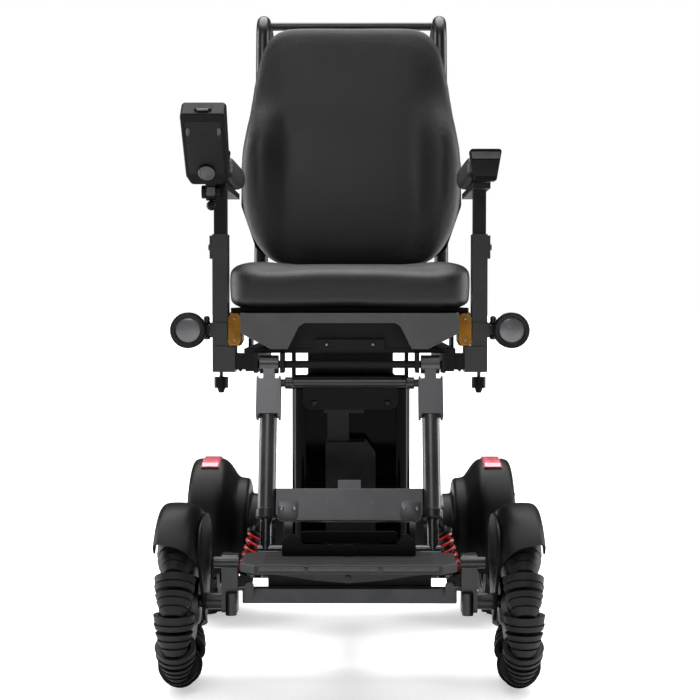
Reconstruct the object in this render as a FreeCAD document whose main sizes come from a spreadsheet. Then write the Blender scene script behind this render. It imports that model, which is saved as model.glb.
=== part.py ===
import FreeCAD, Part
import math
import os
import re
import Sketcher

# An all-terrain power wheelchair. X runs to the sitter's left, Y to the rear, Z up, in millimetres.
# The front wheels' axle lies at y = axle_y, and the names ending in _d are distances behind that axle.

sizes = {
    "axle_y": -260, "clearance": 0.05,
    # front wheels: nested conical rollers on a hub
    "front_r": 136, "front_x": 267.5, "roller_axis_r": 104, "roller_length": 62, "roller_count": 12,
    "ring_count": 5, "ring_groove": 2.6, "ring_depth": 4, "roller_slot": 6, "pin_r": 4,
    "recess_r": 24, "recess_depth": 14, "hub_r": 64, "hub_half": 29, "axle_r": 10,
    # front fenders
    "fender_r": 156, "fender_wall": 3.5, "fender_inner_x": 231, "fender_outer_x": 300, "skirt": 26,
    "fender_sweep": 132, "fender_start": 43, "stay_wall": 5, "stay_tip_z": 106,
    # suspension arms and shocks
    "arm_inner_x": 178, "arm_plate_x": 190, "arm_outer_x": 203, "arm_pivot_d": 150, "arm_pivot_z": 160, "arm_pin_r": 8,
    "axle_tube_r": 13, "tower_x": 108, "shock_d": 60, "shock_top_x": 143, "shock_top_z": 250,
    "shock_low_x": 167, "shock_low_z": 158, "shock_body_r": 13.5, "shock_bore_r": 9, "shock_rod_r": 5,
    "spring_r": 20, "spring_wire": 5.5, "spring_turns": 5, "eye_r": 9, "eye_pin_r": 4, "eye_width": 12,
    # front beam and chassis
    "beam_half": 172, "beam_low": 130, "beam_top": 153, "rail_x": 72, "rail_w": 34, "rail_low": 130,
    "rail_top": 170, "rail_front_d": 44, "rail_rear_d": 640,
    # battery housing
    "housing_half": 108, "housing_front_d": 352, "housing_rear_d": 500, "housing_top": 456,
    "housing_wall": 4,
    # lift column
    "column_half": 44, "column_front_d": 256, "column_rear_d": 338, "column_top": 366,
    "mast_inner": 3, "mast_outer": 41, "mast_front_d": 268, "mast_rear_d": 326,
    # rear drive
    "wheelbase": 560, "rear_r": 140, "rear_x": 283, "rear_half": 32, "rim_r": 88, "rear_shaft_r": 12,
    "cover_r": 165, "cover_wall": 4, "cover_outer_x": 309, "cover_crown_x": 246, "shoulder_r": 127,
    "shoulder_x": 219, "shoulder_inner_x": 197, "drum_r": 96, "drum_inner_x": 178, "cover_sweep": 205,
    "lamp_x": 272, "lamp_half": 18, "lamp_height": 4, "lamp_sweep": 44, "motor_r": 56,
    "motor_inner_x": 89, "gearbox_x": 184, "gearbox_r": 70, "lever_x": 164, "lever_pin_r": 4,
    "lever_d": 484,
    # seat frame, pan, cushion
    "seat_front_d": 40, "seat_rear_d": 440, "deck_low": 530, "deck_top": 537, "deck_half": 172,
    "pan_half": 176, "pan_top": 595, "pan_low": 537, "pan_wall": 8, "tray_half": 82, "tray_low": 427,
    "shaft_r": 6, "plate_hole_x": 37.5, "plate_hole_r": 2.5, "plate_z": 544, "cushion_half": 199,
    "cushion_low": 598, "cushion_top": 687, "cushion_rear_d": 402,
    # armrests
    "post_x": 213, "sleeve_half": 12.5, "sleeve_wall": 2.5, "post_d": 100, "sleeve_low": 498,
    "sleeve_top": 724, "post_top": 802, "post_low": 600, "collar_low": 541, "collar_top": 596,
    "knob_z": 480, "knob_r": 11.5, "pad_inner": 186, "pad_outer": 245, "pad_low": 806, "pad_top": 858,
    "pad_front_d": 62, "pad_rear_d": 345, "cap_depth": 24,
    # headlamps
    "lamp_head_x": 262, "lamp_head_z": 567, "lamp_head_r": 29, "lamp_front_d": 44,
    "lamp_bolt_x": 236, "lamp_bolt_d": 92, "clamp_half_height": 15,
    # controller
    "remote_x": 224, "remote_y_d": 14, "remote_z": 806, "remote_tilt": 40, "remote_width": 70,
    "remote_length": 136, "remote_depth": 35, "drum_drop": 18, "stick_z": 52, "stick_ball_r": 13, "gimbal_r": 17,
    # backrest
    "recline_d": 440, "recline_z": 600, "recline_rest": 8.5, "back_half": 204.5, "back_low": 73,
    "back_top": 533, "back_front": -84, "back_rear": -14, "shell_half": 207, "shell_wall": 6,
    "handle_x": 170, "handle_r": 13, "handle_bend": 42, "handle_top": 568, "handle_reach": 118,
    "bar_r": 8,
    # leg rest, in its own frame: the hinge is the origin and the tubes hang straight down
    "leg_hinge_d": 45, "leg_hinge_z": 512, "leg_tilt": 20, "leg_x": 130, "leg_tube_r": 14,
    "leg_tube_top": -86, "leg_tube_end": -252, "slider_r": 9, "slider_end": -304, "block_half": 16,
    "panel_half": 116, "panel_top": -206, "panel_low": -258, "panel_wall": 12,
    # footplate
    "plate_hinge_d": -76, "plate_hinge_z": 220, "footplate_half": 160, "footplate_front_d": -205,
    "footplate_wall": 14, "guard_d": -124, "guard_half": 101, "guard_wall": 7, "guard_top": 262,
    "guard_middle": 245, "foot_pin_r": 5,
}

document = FreeCAD.newDocument("PowerWheelchair")
sheet = document.addObject("Spreadsheet::Sheet", "Sizes")
for row, (alias, value) in enumerate(sizes.items(), 1):
    sheet.set(f"A{row}", alias)
    sheet.set(f"B{row}", str(value))
    sheet.setAlias(f"B{row}", alias)
document.recompute()

vector = FreeCAD.Vector
directions = {"x": vector(1, 0, 0), "y": vector(0, 1, 0), "z": vector(0, 0, 1)}


def qualified(expression):
    """The expression with every size's name pointing at the spreadsheet."""
    return re.sub(r"[a-z][a-z_]+", lambda word: "Sizes." + word.group() if word.group() in sizes
                  else word.group(), str(expression))


def number(expression):
    """The expression's value, for shapes that are made directly."""
    return float(sheet.evalExpression(qualified(expression)))


def bind(item, **properties):
    for name, expression in properties.items():
        item.setExpression(name.replace("__", "."), qualified(expression))


def place(item, x="0", y="0", z="0", turn=None, angle="0"):
    """Put an item's origin at x, y, z, turned about one axis."""
    if turn:
        item.Placement = FreeCAD.Placement(vector(), FreeCAD.Rotation(directions[turn], 1))
        bind(item, Placement__Rotation__Angle=angle)
    bind(item, Placement__Base__x=x, Placement__Base__y=y, Placement__Base__z=z)
    return item


def box(name, x_low, x_high, y_low, y_high, z_low, z_high):
    item = document.addObject("Part::Box", name)
    bind(item, Length=f"({x_high}) - ({x_low})", Width=f"({y_high}) - ({y_low})",
         Height=f"({z_high}) - ({z_low})")
    return place(item, x_low, y_low, z_low)


def rod(name, axis, radius, start, end, first, second):
    """A cylinder along an axis; first and second are its other two coordinates, in X, Y, Z order."""
    item = document.addObject("Part::Cylinder", name)
    bind(item, Radius=radius, Height=f"({end}) - ({start})")
    if axis == "x":
        return place(item, start, first, second, "y", "90")
    if axis == "y":
        return place(item, first, start, second, "x", "-90")
    return place(item, first, second, start)


def cone(name, axis, radius, end_radius, start, end, first, second):
    item = document.addObject("Part::Cone", name)
    bind(item, Radius1=radius, Radius2=end_radius, Height=f"({end}) - ({start})")
    if axis == "x":
        return place(item, start, first, second, "y", "90")
    if axis == "y":
        return place(item, first, start, second, "x", "-90")
    return place(item, first, second, start)


def ball(name, radius, x, y, z):
    item = document.addObject("Part::Sphere", name)
    bind(item, Radius=radius)
    return place(item, x, y, z)


def fuse(name, *items):
    item = document.addObject("Part::MultiFuse", name)
    item.Shapes = list(items)
    item.Refine = True
    return item


def cut(name, base, *tools):
    item = document.addObject("Part::Cut", name)
    item.Base = base
    item.Tool = tools[0] if len(tools) == 1 else fuse(name + "_tools", *tools)
    item.Refine = True
    return item


def group(name, *items):
    item = document.addObject("Part::Compound", name)
    item.Links = list(items)
    return item


def mirrored(name, source):
    """The same piece on the other side of the chair."""
    item = document.addObject("Part::Mirroring", name)
    item.Source = source
    item.Base = vector()
    item.Normal = directions["x"]
    return item


def made(name, shape):
    item = document.addObject("Part::Feature", name)
    item.Shape = shape
    item.Placement = FreeCAD.Placement()
    return item


def outline(body, role, corners):
    """A closed sketch of straight sides on one of the body's own planes."""
    sketch = body.newObject("Sketcher::SketchObject", body.Name + "_outline")
    plane = next(item for item in body.Origin.OriginFeatures if item.Role == role)
    sketch.AttachmentSupport = [(plane, "")]
    sketch.MapMode = "FlatFace"
    points = [vector(number(across), number(up), 0) for across, up in corners]
    count = len(points)
    for index in range(count):
        sketch.addGeometry(Part.LineSegment(points[index], points[(index + 1) % count]), False)
    for index in range(count):
        sketch.addConstraint(Sketcher.Constraint("Coincident", index, 2, (index + 1) % count, 1))
        for kind, part, value in zip(("DistanceX", "DistanceY"), corners[index], points[index]):
            added = sketch.addConstraint(Sketcher.Constraint(kind, -1, 1, index, 1, value))
            sketch.setExpression(f"Constraints[{added}]", qualified(part))
    return sketch


def rounded(body, feature, radius, direction):
    """Round the feature's edges that run along a direction."""
    document.recompute()
    edges = [f"Edge{index}" for index, edge in enumerate(feature.Shape.Edges, 1)
             if len(edge.Vertexes) == 2
             and abs((edge.Vertexes[1].Point - edge.Vertexes[0].Point).normalize().dot(direction)) > 0.99]
    fillet = body.newObject("PartDesign::Fillet", body.Name + "_fillet")
    fillet.Base = (feature, edges)
    bind(fillet, Radius=radius)
    return fillet


def slab(name, role, corners, depth, corner_radius=None, edge_radius=None):
    """A padded outline, centred on its plane, with rounded corners and rounded rims."""
    body = document.addObject("PartDesign::Body", name)
    sketch = outline(body, role, corners)
    pad = body.newObject("PartDesign::Pad", name + "_pad")
    pad.Profile = sketch
    pad.SideType = "Symmetric"
    bind(pad, Length=depth)
    normal = {"XY_Plane": directions["z"], "XZ_Plane": directions["y"], "YZ_Plane": directions["x"]}[role]
    feature = pad
    if corner_radius:
        feature = rounded(body, feature, corner_radius, normal)
    if edge_radius:
        document.recompute()
        rims = [f"Face{index}" for index, face in enumerate(feature.Shape.Faces, 1)
                if face.Surface.TypeId == "Part::GeomPlane"
                and abs(face.normalAt(0, 0).dot(normal)) > 0.99]
        rim = body.newObject("PartDesign::Fillet", name + "_rim")
        rim.Base = (feature, rims)
        bind(rim, Radius=edge_radius)
    return body


def turned(name, corners, sweep="360"):
    """An outline in the XZ plane swept about X; a part sweep is centred on the top."""
    body = document.addObject("PartDesign::Body", name)
    sketch = outline(body, "XZ_Plane", corners)
    turn = body.newObject("PartDesign::Revolution", name + "_turn")
    turn.Profile = sketch
    turn.ReferenceAxis = (sketch, ["H_Axis"])
    bind(turn, Angle=sweep)
    if sweep != "360":
        turn.Midplane = True
    return body


def bent_tube(name, points, bend_radius, tube_radius):
    """A round tube along straight runs joined by arcs."""
    edges = []
    start = points[0]
    for before, corner, after in zip(points, points[1:], points[2:]):
        inward = (before - corner).normalize()
        outward = (after - corner).normalize()
        half_turn = (math.pi - inward.getAngle(outward)) / 2
        setback = bend_radius * math.tan(half_turn)
        first = corner + inward * setback
        last = corner + outward * setback
        centre = corner + (inward + outward).normalize() * (bend_radius / math.cos(half_turn))
        middle = centre + (corner - centre).normalize() * bend_radius
        edges.append(Part.LineSegment(start, first).toShape())
        edges.append(Part.Arc(first, middle, last).toShape())
        start = last
    edges.append(Part.LineSegment(start, points[-1]).toShape())
    path = Part.Wire(edges)
    ring = Part.Wire(Part.makeCircle(tube_radius, points[0], points[1] - points[0]))
    return made(name, path.makePipeShell([ring], True, True))


nodes = []


def node(name, item):
    """Name a finished piece of the chair."""
    item.Label = name
    nodes.append(item)
    return item


def pair(name, item):
    """The left piece, and its mirror image on the right."""
    left = node(name + "_left", item)
    node(name + "_right", mirrored(name + "_right", left))


def at(distance):
    """The Y coordinate of a distance behind the front axle."""
    return f"(axle_y + ({distance}))"


# ---- front wheels ----

def roller_radius(offset):
    """The radius of a roller at an offset along its axis: its outer line follows the wheel's circle."""
    return f"(sqrt(front_r^2 - ({offset})^2) - roller_axis_r)"


def roller_rings(first, last):
    """Corners of the rings between two boundaries, as offset along the axis and distance from the hub."""
    corners = []
    for ring in range(first, last):
        low = f"(roller_length * {ring} / ring_count - roller_length)"
        high = f"(roller_length * {ring + 1} / ring_count - roller_length)"
        slot_low = " + roller_slot / 2" if ring == 3 else " + ring_groove / 2"
        slot_high = " - roller_slot / 2" if ring == 2 else " - ring_groove / 2"
        start = low + (slot_low if ring else "")
        end = high + (slot_high if ring < 4 else "")
        if ring > first:
            corners.append((start, f"roller_axis_r + {roller_radius(start)} - ring_depth"))
        corners.append((start, f"roller_axis_r + {roller_radius(start)} - ring_depth * 0.35"))
        corners.append((end, f"roller_axis_r + {roller_radius(end)}"))
        if ring < last - 1:
            corners.append((end, f"roller_axis_r + {roller_radius(end)} - ring_depth"))
    return corners


def roller_half(name, corners):
    """Twelve equal pieces turned about the rollers' own axes and set round the wheel."""
    body = document.addObject("PartDesign::Body", name)
    sketch = outline(body, "YZ_Plane", corners)
    reach = number("roller_length")
    height = number("roller_axis_r")
    line = sketch.addGeometry(Part.LineSegment(vector(-reach, height, 0), vector(0, height, 0)), True)
    for end, across in ((1, "-roller_length"), (2, "0")):
        for kind, part in (("DistanceX", across), ("DistanceY", "roller_axis_r")):
            added = sketch.addConstraint(Sketcher.Constraint(kind, -1, 1, line, end, number(part)))
            sketch.setExpression(f"Constraints[{added}]", qualified(part))
    turn = body.newObject("PartDesign::Revolution", name + "_turn")
    turn.Profile = sketch
    turn.ReferenceAxis = (sketch, ["Axis0"])
    turn.Angle = 360
    document.recompute()
    ring = body.newObject("PartDesign::PolarPattern", name + "_ring")
    ring.Originals = [turn]
    axis = next(item for item in body.Origin.OriginFeatures if item.Role == "X_Axis")
    ring.Axis = (axis, [""])
    ring.Angle = 360
    bind(ring, Occurrences="roller_count")
    body.Tip = ring
    return body


bore = "roller_axis_r + pin_r + clearance"
small_end = roller_half("small_rings", [("-roller_length", bore)] + roller_rings(0, 3)
                        + [("-roller_length * 2 / ring_count - roller_slot / 2", bore)])
large_end = roller_half("large_rings", [("-roller_length * 2 / ring_count + roller_slot / 2", bore)]
                        + roller_rings(3, 5)
                        + [("0", "roller_axis_r + recess_r"), ("-recess_depth", "roller_axis_r + recess_r"),
                           ("-recess_depth", bore)])
for half in (small_end, large_end):
    place(half, "front_x", "axle_y", "front_r")
pair("front_rollers", group("rollers", small_end, large_end))

hub_parts = [turned("hub_disc", [
    ("-hub_half", "axle_r + clearance"), ("-hub_half", "hub_r * 0.55"), ("-hub_half * 0.7", "hub_r * 0.62"),
    ("-hub_half * 0.7", "hub_r"), ("hub_half * 0.7", "hub_r"), ("hub_half * 0.7", "hub_r * 0.7"),
    ("hub_half", "hub_r * 0.6"), ("hub_half + 3", "hub_r * 0.35"), ("hub_half + 3", "axle_r + clearance")])]
for index in range(int(number("roller_count"))):
    angle = index * 360 / number("roller_count")
    blade = box(f"hub_blade_{index}", "-7", "7", "-roller_length * 2 / ring_count - 2",
                "-roller_length * 2 / ring_count + 2", "hub_r - 6", "roller_axis_r + pin_r + 1")
    pin = rod(f"hub_pin_{index}", "y", "pin_r", "2 - roller_length", "-recess_depth - 1",
              "0", "roller_axis_r")
    spoke = group(f"hub_spoke_{index}", fuse(f"hub_spoke_body_{index}", blade, pin))
    spoke.Placement = FreeCAD.Placement(vector(), FreeCAD.Rotation(directions["x"], angle))
    hub_parts.append(spoke)
front_hub = place(fuse("front_hub_parts", *hub_parts), "front_x", "axle_y", "front_r")
pair("front_hub", front_hub)

# ---- front fenders ----
fender = turned("fender_shell", [
    ("fender_inner_x", "fender_r - skirt * 0.6"), ("fender_inner_x", "fender_r - 9"),
    ("fender_inner_x + 9", "fender_r"), ("fender_outer_x - 12", "fender_r"),
    ("fender_outer_x", "fender_r - 10"), ("fender_outer_x", "fender_r - skirt"),
    ("fender_outer_x - fender_wall", "fender_r - skirt"),
    ("fender_outer_x - fender_wall", "fender_r - 12"), ("fender_outer_x - 14", "fender_r - fender_wall"),
    ("fender_inner_x + 10", "fender_r - fender_wall"), ("fender_inner_x + fender_wall", "fender_r - 10"),
    ("fender_inner_x + fender_wall", "fender_r - skirt * 0.6")], "fender_sweep")
place(fender, "0", "axle_y", "front_r", "x", "90 - fender_start - fender_sweep / 2")
stay = slab("fender_stay", "YZ_Plane", [
    ("axle_y - 96", "front_r + 96"), ("axle_y - 60", "front_r + 128"), ("axle_y + 60", "front_r + 128"),
    ("axle_y + 100", "front_r + 88"), ("axle_y + 16", "stay_tip_z"), ("axle_y - 16", "stay_tip_z")],
    "stay_wall", "10")
place(stay, "fender_inner_x - stay_wall / 2 + 2")
stay_hole = rod("stay_hole", "x", "axle_tube_r", "fender_inner_x - 20", "fender_inner_x + 20", "axle_y",
                "front_r")
pair("front_fender", cut("fender_parts", fuse("fender_solid", fender, stay), stay_hole))

# ---- suspension arms ----
arm_plate = slab("arm_plate", "YZ_Plane", [
    ("axle_y - 17", "front_r - 17"), ("axle_y - 17", "front_r + 75"), ("axle_y + 20", "front_r + 75"),
    (at("shock_d + 20"), "arm_pivot_z + 16"), (at("arm_pivot_d + 18"), "arm_pivot_z + 16"),
    (at("arm_pivot_d + 18"), "arm_pivot_z - 16"), ("axle_y + 30", "front_r - 17")],
    "arm_outer_x - arm_plate_x", "8")
place(arm_plate, "(arm_plate_x + arm_outer_x) / 2")
arm_block = slab("arm_block", "YZ_Plane", [
    ("axle_y - 17", "front_r - 17"), ("axle_y - 17", "front_r + 75"), ("axle_y + 20", "front_r + 75"),
    ("axle_y + 20", "front_r - 17")], "arm_outer_x - arm_inner_x", "8")
place(arm_block, "(arm_inner_x + arm_outer_x) / 2")
barrel = rod("arm_barrel", "x", "9", "arm_inner_x - 2", "arm_outer_x + 12", "axle_y - 12", "front_r + 64")
steering_post = rod("arm_post", "z", "9", "front_r - 18", "front_r + 17", "arm_inner_x + 9", "axle_y - 22")
axle_tube = rod("arm_axle_tube", "x", "axle_tube_r", "arm_outer_x - 2", "fender_inner_x + 3", "axle_y",
                "front_r")
axle = rod("arm_axle", "x", "axle_r", "arm_outer_x", "front_x + hub_half + 8", "axle_y", "front_r")
link = rod("arm_link", "x", "3.5", "arm_inner_x - 14", "arm_inner_x + 6", "axle_y - 12", "front_r + 22")
hanger = slab("arm_hanger", "XZ_Plane", [
    ("arm_inner_x - 26", "front_r + 32"), ("arm_inner_x - 12", "front_r + 32"),
    ("arm_inner_x - 12", "front_r + 4"), ("arm_inner_x - 26", "front_r + 4")], "8", "6")
place(hanger, y="axle_y - 12")
shock_pin = rod("arm_shock_pin", "y", "eye_pin_r", at("shock_d - 16"), at("shock_d + 16"), "shock_low_x",
                "shock_low_z")
shock_lug = box("arm_shock_lug", "shock_low_x - 7", "arm_plate_x + 4", at("shock_d - 15"),
                at("shock_d - 9"), "shock_low_z - 9", "shock_low_z + 9")
arm_bore = rod("arm_bore", "x", "arm_pin_r + clearance", "arm_inner_x - 20", "arm_outer_x + 20",
               at("arm_pivot_d"), "arm_pivot_z")
arm_solid = fuse("arm_solid", arm_plate, arm_block, barrel, steering_post, axle_tube, axle, link, hanger, shock_pin,
                 shock_lug)
pair("suspension_arm", cut("arm_parts", arm_solid, arm_bore))

# ---- coil-over shocks, built upright on their lower eye and then leaned inward ----
shock_length = "sqrt((shock_low_x - shock_top_x)^2 + (shock_top_z - shock_low_z)^2)"
shock_lean = "-atan((shock_low_x - shock_top_x) / (shock_top_z - shock_low_z))"


def leaned(item):
    return place(item, "shock_low_x", at("shock_d"), "shock_low_z", "y", shock_lean)


rod_eye = rod("rod_eye", "y", "eye_r", "-eye_width / 2", "eye_width / 2", "0", "0")
rod_shaft = rod("rod_shaft", "z", "shock_rod_r", "4", f"{shock_length} * 0.62", "0", "0")
rod_seat = rod("rod_seat", "z", "spring_r + 1", "11", "14", "0", "0")
rod_bore = rod("rod_bore", "y", "eye_pin_r + clearance", "-20", "20", "0", "0")
pair("shock_rod", leaned(cut("rod_parts", fuse("rod_solid", rod_eye, rod_shaft, rod_seat), rod_bore)))

body_eye = rod("body_eye", "y", "eye_r", "-eye_width / 2", "eye_width / 2", "0", shock_length)
body_can = rod("body_can", "z", "shock_body_r", f"{shock_length} * 0.45", f"{shock_length} - 5", "0", "0")
body_seat = rod("body_seat", "z", "spring_r + 1", f"{shock_length} - 15", f"{shock_length} - 11", "0", "0")
body_hollow = rod("body_hollow", "z", "shock_bore_r", "0", f"{shock_length} * 0.8", "0", "0")
body_bore = rod("body_bore", "y", "eye_pin_r + clearance", "-20", "20", "0", shock_length)
left_body = leaned(cut("body_parts", fuse("body_solid", body_eye, body_can, body_seat), body_hollow,
                       body_bore))
node("shock_bodies", group("shock_pair", left_body, mirrored("shock_body_other", left_body)))

coil_low = 14 + number("spring_wire") / 2 + 0.4
coil_top = number(shock_length) - 15 - number("spring_wire") / 2 - 0.4
coil_path = Part.makeHelix((coil_top - coil_low) / number("spring_turns"), coil_top - coil_low,
                           number("spring_r") - number("spring_wire") / 2)
coil_ring = Part.Wire(Part.makeCircle(number("spring_wire") / 2,
                                      vector(number("spring_r") - number("spring_wire") / 2, 0, 0),
                                      vector(0, 1, 0)))
coil_shape = Part.Wire(coil_path).makePipeShell([coil_ring], True, True)
coil = place(made("coil", coil_shape), z=str(coil_low))
pair("shock_spring", leaned(group("coil_placed", coil)))

# ---- chassis ----
frame_parts = []
for side, sign in (("left", ""), ("right", "-")):
    low, high = (f"{sign}(rail_x - rail_w / 2)", f"{sign}(rail_x + rail_w / 2)")
    if sign:
        low, high = high, low
    frame_parts.append(box(f"rail_{side}", low, high, at("rail_front_d"), at("rail_rear_d"), "rail_low",
                           "rail_top"))
    low, high = (f"{sign}tower_x", f"{sign}(tower_x + 12)")
    if sign:
        low, high = high, low
    frame_parts.append(box(f"tower_{side}", low, high, at("shock_d - 16"), at("shock_d + 16"),
                           "rail_low + 6", "shock_top_z + 14"))
    frame_parts.append(rod(f"tower_pin_{side}", "y", "eye_pin_r", at("shock_d + 6.3"),
                           at("shock_d + 16"), f"{sign}shock_top_x", "shock_top_z"))
    low, high = (f"{sign}(tower_x + 4)", f"{sign}(shock_top_x + 9)")
    if sign:
        low, high = high, low
    frame_parts.append(box(f"tower_ear_{side}", low, high, at("shock_d + 8"), at("shock_d + 16"),
                           "shock_top_z - 1.5", "shock_top_z + 14"))
frame_parts.append(box("front_cross", "-tower_x - 6", "tower_x + 6", at("rail_front_d"),
                       at("rail_front_d + 36"), "rail_low + 6", "rail_top - 4"))
frame_parts.append(rod("pivot_tube", "x", "14", "-(arm_plate_x - 4)", "arm_plate_x - 4",
                       at("arm_pivot_d"), "arm_pivot_z"))
frame_parts.append(rod("pivot_pin", "x", "arm_pin_r", "-(arm_outer_x + 4)", "arm_outer_x + 4",
                       at("arm_pivot_d"), "arm_pivot_z"))
for index, distance in enumerate(("column_front_d + 20", "housing_front_d + 30", "wheelbase - 20")):
    frame_parts.append(box(f"cross_{index}", "-rail_x", "rail_x", at(distance), at(f"{distance} + 40"),
                           "rail_low + 5", "rail_top - 6"))
frame_parts.append(box("skid_panel", "-beam_half + 40", "beam_half - 40", at("34"), at("44"),
                       "beam_top - 6", "beam_top + 40"))
node("chassis_frame", fuse("frame_parts", *frame_parts))

beam = slab("front_beam", "XZ_Plane", [
    ("-beam_half", "beam_low"), ("beam_half", "beam_low"), ("beam_half", "beam_top"),
    ("-beam_half", "beam_top")], "24", "3")
place(beam, y=at("22"))
node("front_axle_beam", beam)

housing_outer = slab("housing_outer", "XY_Plane", [
    ("-housing_half", "housing_front_d"), ("housing_half", "housing_front_d"),
    ("housing_half", "housing_rear_d"), ("-housing_half", "housing_rear_d")],
    "housing_top - rail_top - 0.4", "26", "3")
place(housing_outer, "0", "axle_y", "(housing_top + rail_top + 0.4) / 2")
housing_hollow = box("housing_hollow", "-housing_half + housing_wall", "housing_half - housing_wall",
                     at("housing_front_d + 14"), at("housing_rear_d - 14"), "rail_top + 0.4 + housing_wall",
                     "housing_top - housing_wall")
node("power_housing", cut("housing_parts", housing_outer, housing_hollow))
battery = slab("battery_block", "XY_Plane", [
    ("-housing_half + 14", "housing_front_d + 18"), ("housing_half - 14", "housing_front_d + 18"),
    ("housing_half - 14", "housing_rear_d - 18"), ("-housing_half + 14", "housing_rear_d - 18")],
    "200", "6")
place(battery, "0", "axle_y", "rail_top + housing_wall + 100.6")
node("battery_pack", battery)

# ---- lift column ----
column_outer = slab("column_outer", "XZ_Plane", [
    ("-column_half", "rail_top + 0.4"), ("column_half", "rail_top + 0.4"),
    ("column_half", "column_top - 24"), ("column_half - 18", "column_top"), ("-column_half", "column_top")],
    "column_rear_d - column_front_d", "5")
place(column_outer, y=at("(column_rear_d + column_front_d) / 2"))
column_bore = box("column_bore", "-mast_outer - clearance", "-mast_inner + clearance",
                  at("mast_front_d - clearance"), at("mast_rear_d + clearance"), "rail_top + 12",
                  "column_top + 10")
node("lift_outer_column", cut("column_parts", column_outer, column_bore))
mast = box("mast", "-mast_outer", "-mast_inner", at("mast_front_d"), at("mast_rear_d"), "rail_top + 80",
           "tray_low")
mast_head = box("mast_head", "-mast_outer - 6", "-mast_inner + 26", at("mast_front_d - 6"),
                at("mast_rear_d + 6"), "tray_low - 10", "tray_low")
node("lift_inner_column", fuse("mast_parts", mast, mast_head))

# ---- rear drive ----
cover = turned("cover_shell", [
    ("drum_inner_x", "drum_r - cover_wall"), ("drum_inner_x", "drum_r"), ("shoulder_inner_x", "drum_r"),
    ("shoulder_inner_x", "shoulder_r"), ("shoulder_x", "shoulder_r"), ("cover_crown_x", "cover_r"),
    ("cover_outer_x - 8", "cover_r"), ("cover_outer_x", "cover_r - 8"), ("cover_outer_x", "cover_r - 20"),
    ("cover_outer_x - cover_wall", "cover_r - 20"), ("cover_outer_x - cover_wall", "cover_r - 10"),
    ("cover_outer_x - 10", "cover_r - cover_wall"), ("cover_crown_x + 2", "cover_r - cover_wall"),
    ("shoulder_x + 1", "shoulder_r - cover_wall - 1"),
    ("shoulder_inner_x + cover_wall", "shoulder_r - cover_wall"),
    ("shoulder_inner_x + cover_wall", "drum_r - cover_wall")], "cover_sweep")
place(cover, "0", at("wheelbase"), "rear_r")
cover_web = turned("cover_web", [
    ("drum_inner_x", "gearbox_r + 3"), ("drum_inner_x", "drum_r"), ("drum_inner_x + 4", "drum_r"),
    ("drum_inner_x + 4", "gearbox_r + 3")], "cover_sweep")
place(cover_web, "0", at("wheelbase"), "rear_r")
pair("drive_cover", fuse("cover_parts", cover, cover_web))

lamp = turned("lamp_lens", [
    ("-lamp_half", "cover_r + 0.2"), ("-lamp_half + 3", "cover_r + lamp_height"),
    ("lamp_half - 3", "cover_r + lamp_height"), ("lamp_half", "cover_r + 0.2")], "lamp_sweep")
place(lamp, "lamp_x", at("wheelbase"), "rear_r")
node("tail_lamps", group("lamp_pair", lamp, mirrored("lamp_other", lamp)))

motor_can = rod("motor_can", "x", "motor_r", "motor_inner_x", "gearbox_x - 20", at("wheelbase"), "rear_r")
motor_cap = rod("motor_cap", "x", "gearbox_r", "gearbox_x - 34", "gearbox_x + 26", at("wheelbase"),
                "rear_r")
motor_bore = rod("motor_bore", "x", "rear_shaft_r + clearance", "gearbox_x - 6", "gearbox_x + 40",
                 at("wheelbase"), "rear_r")
lever_pin = rod("lever_pin", "y", "lever_pin_r", at("lever_d - 12"), at("wheelbase - 50"), "lever_x",
                "rear_r - 6")
left_motor = cut("motor_parts", fuse("motor_solid", motor_can, motor_cap, lever_pin), motor_bore)
node("drive_motors", group("motor_pair", left_motor, mirrored("motor_other", left_motor)))

tyre = turned("rear_tyre_ring", [
    ("-rear_half + 4", "rim_r"), ("-rear_half", "rim_r + 18"), ("-rear_half + 3", "rear_r - 14"),
    ("-rear_half + 14", "rear_r - 2"), ("-8", "rear_r"), ("8", "rear_r"), ("rear_half - 14", "rear_r - 2"),
    ("rear_half - 3", "rear_r - 14"), ("rear_half", "rim_r + 18"), ("rear_half - 4", "rim_r")])
pair("rear_tyre", place(tyre, "rear_x", at("wheelbase"), "rear_r"))
rim_disc = turned("rim_disc", [
    ("-rear_half - 14", "0"), ("-rear_half - 14", "30"), ("-8", "34"), ("-8", "rim_r - 10"),
    ("-rear_half + 6", "rim_r - 6"), ("-rear_half + 6", "rim_r"), ("rear_half - 6", "rim_r"),
    ("rear_half - 6", "rim_r - 6"), ("8", "rim_r - 12"), ("14", "34"), ("rear_half - 4", "28"),
    ("rear_half - 4", "0")])
rim_shaft = rod("rim_shaft", "x", "rear_shaft_r", "gearbox_x - rear_x", "0", "0", "0")
rim_windows = []
for index in range(6):
    window = rod(f"rim_window_{index}", "x", "13", "-30", "40", "0", "56")
    turned_window = group(f"rim_window_turned_{index}", window)
    turned_window.Placement = FreeCAD.Placement(vector(), FreeCAD.Rotation(directions["x"], index * 60))
    rim_windows.append(turned_window)
rim = cut("rim_parts", fuse("rim_solid", rim_disc, rim_shaft), *rim_windows)
pair("rear_rim", place(rim, "rear_x", at("wheelbase"), "rear_r"))

lever_arm = slab("lever_arm", "XZ_Plane", [
    ("lever_x - 9", "rear_r - 15"), ("lever_x + 9", "rear_r - 15"), ("lever_x + 5", "rear_r + 38"),
    ("lever_x - 5", "rear_r + 38")], "5", "4")
place(lever_arm, y=at("lever_d"))
lever_bore = rod("lever_bore", "y", "lever_pin_r + clearance", at("lever_d - 20"), at("lever_d + 20"),
                 "lever_x", "rear_r - 6")
pair("brake_release", cut("lever_parts", lever_arm, lever_bore))

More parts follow.
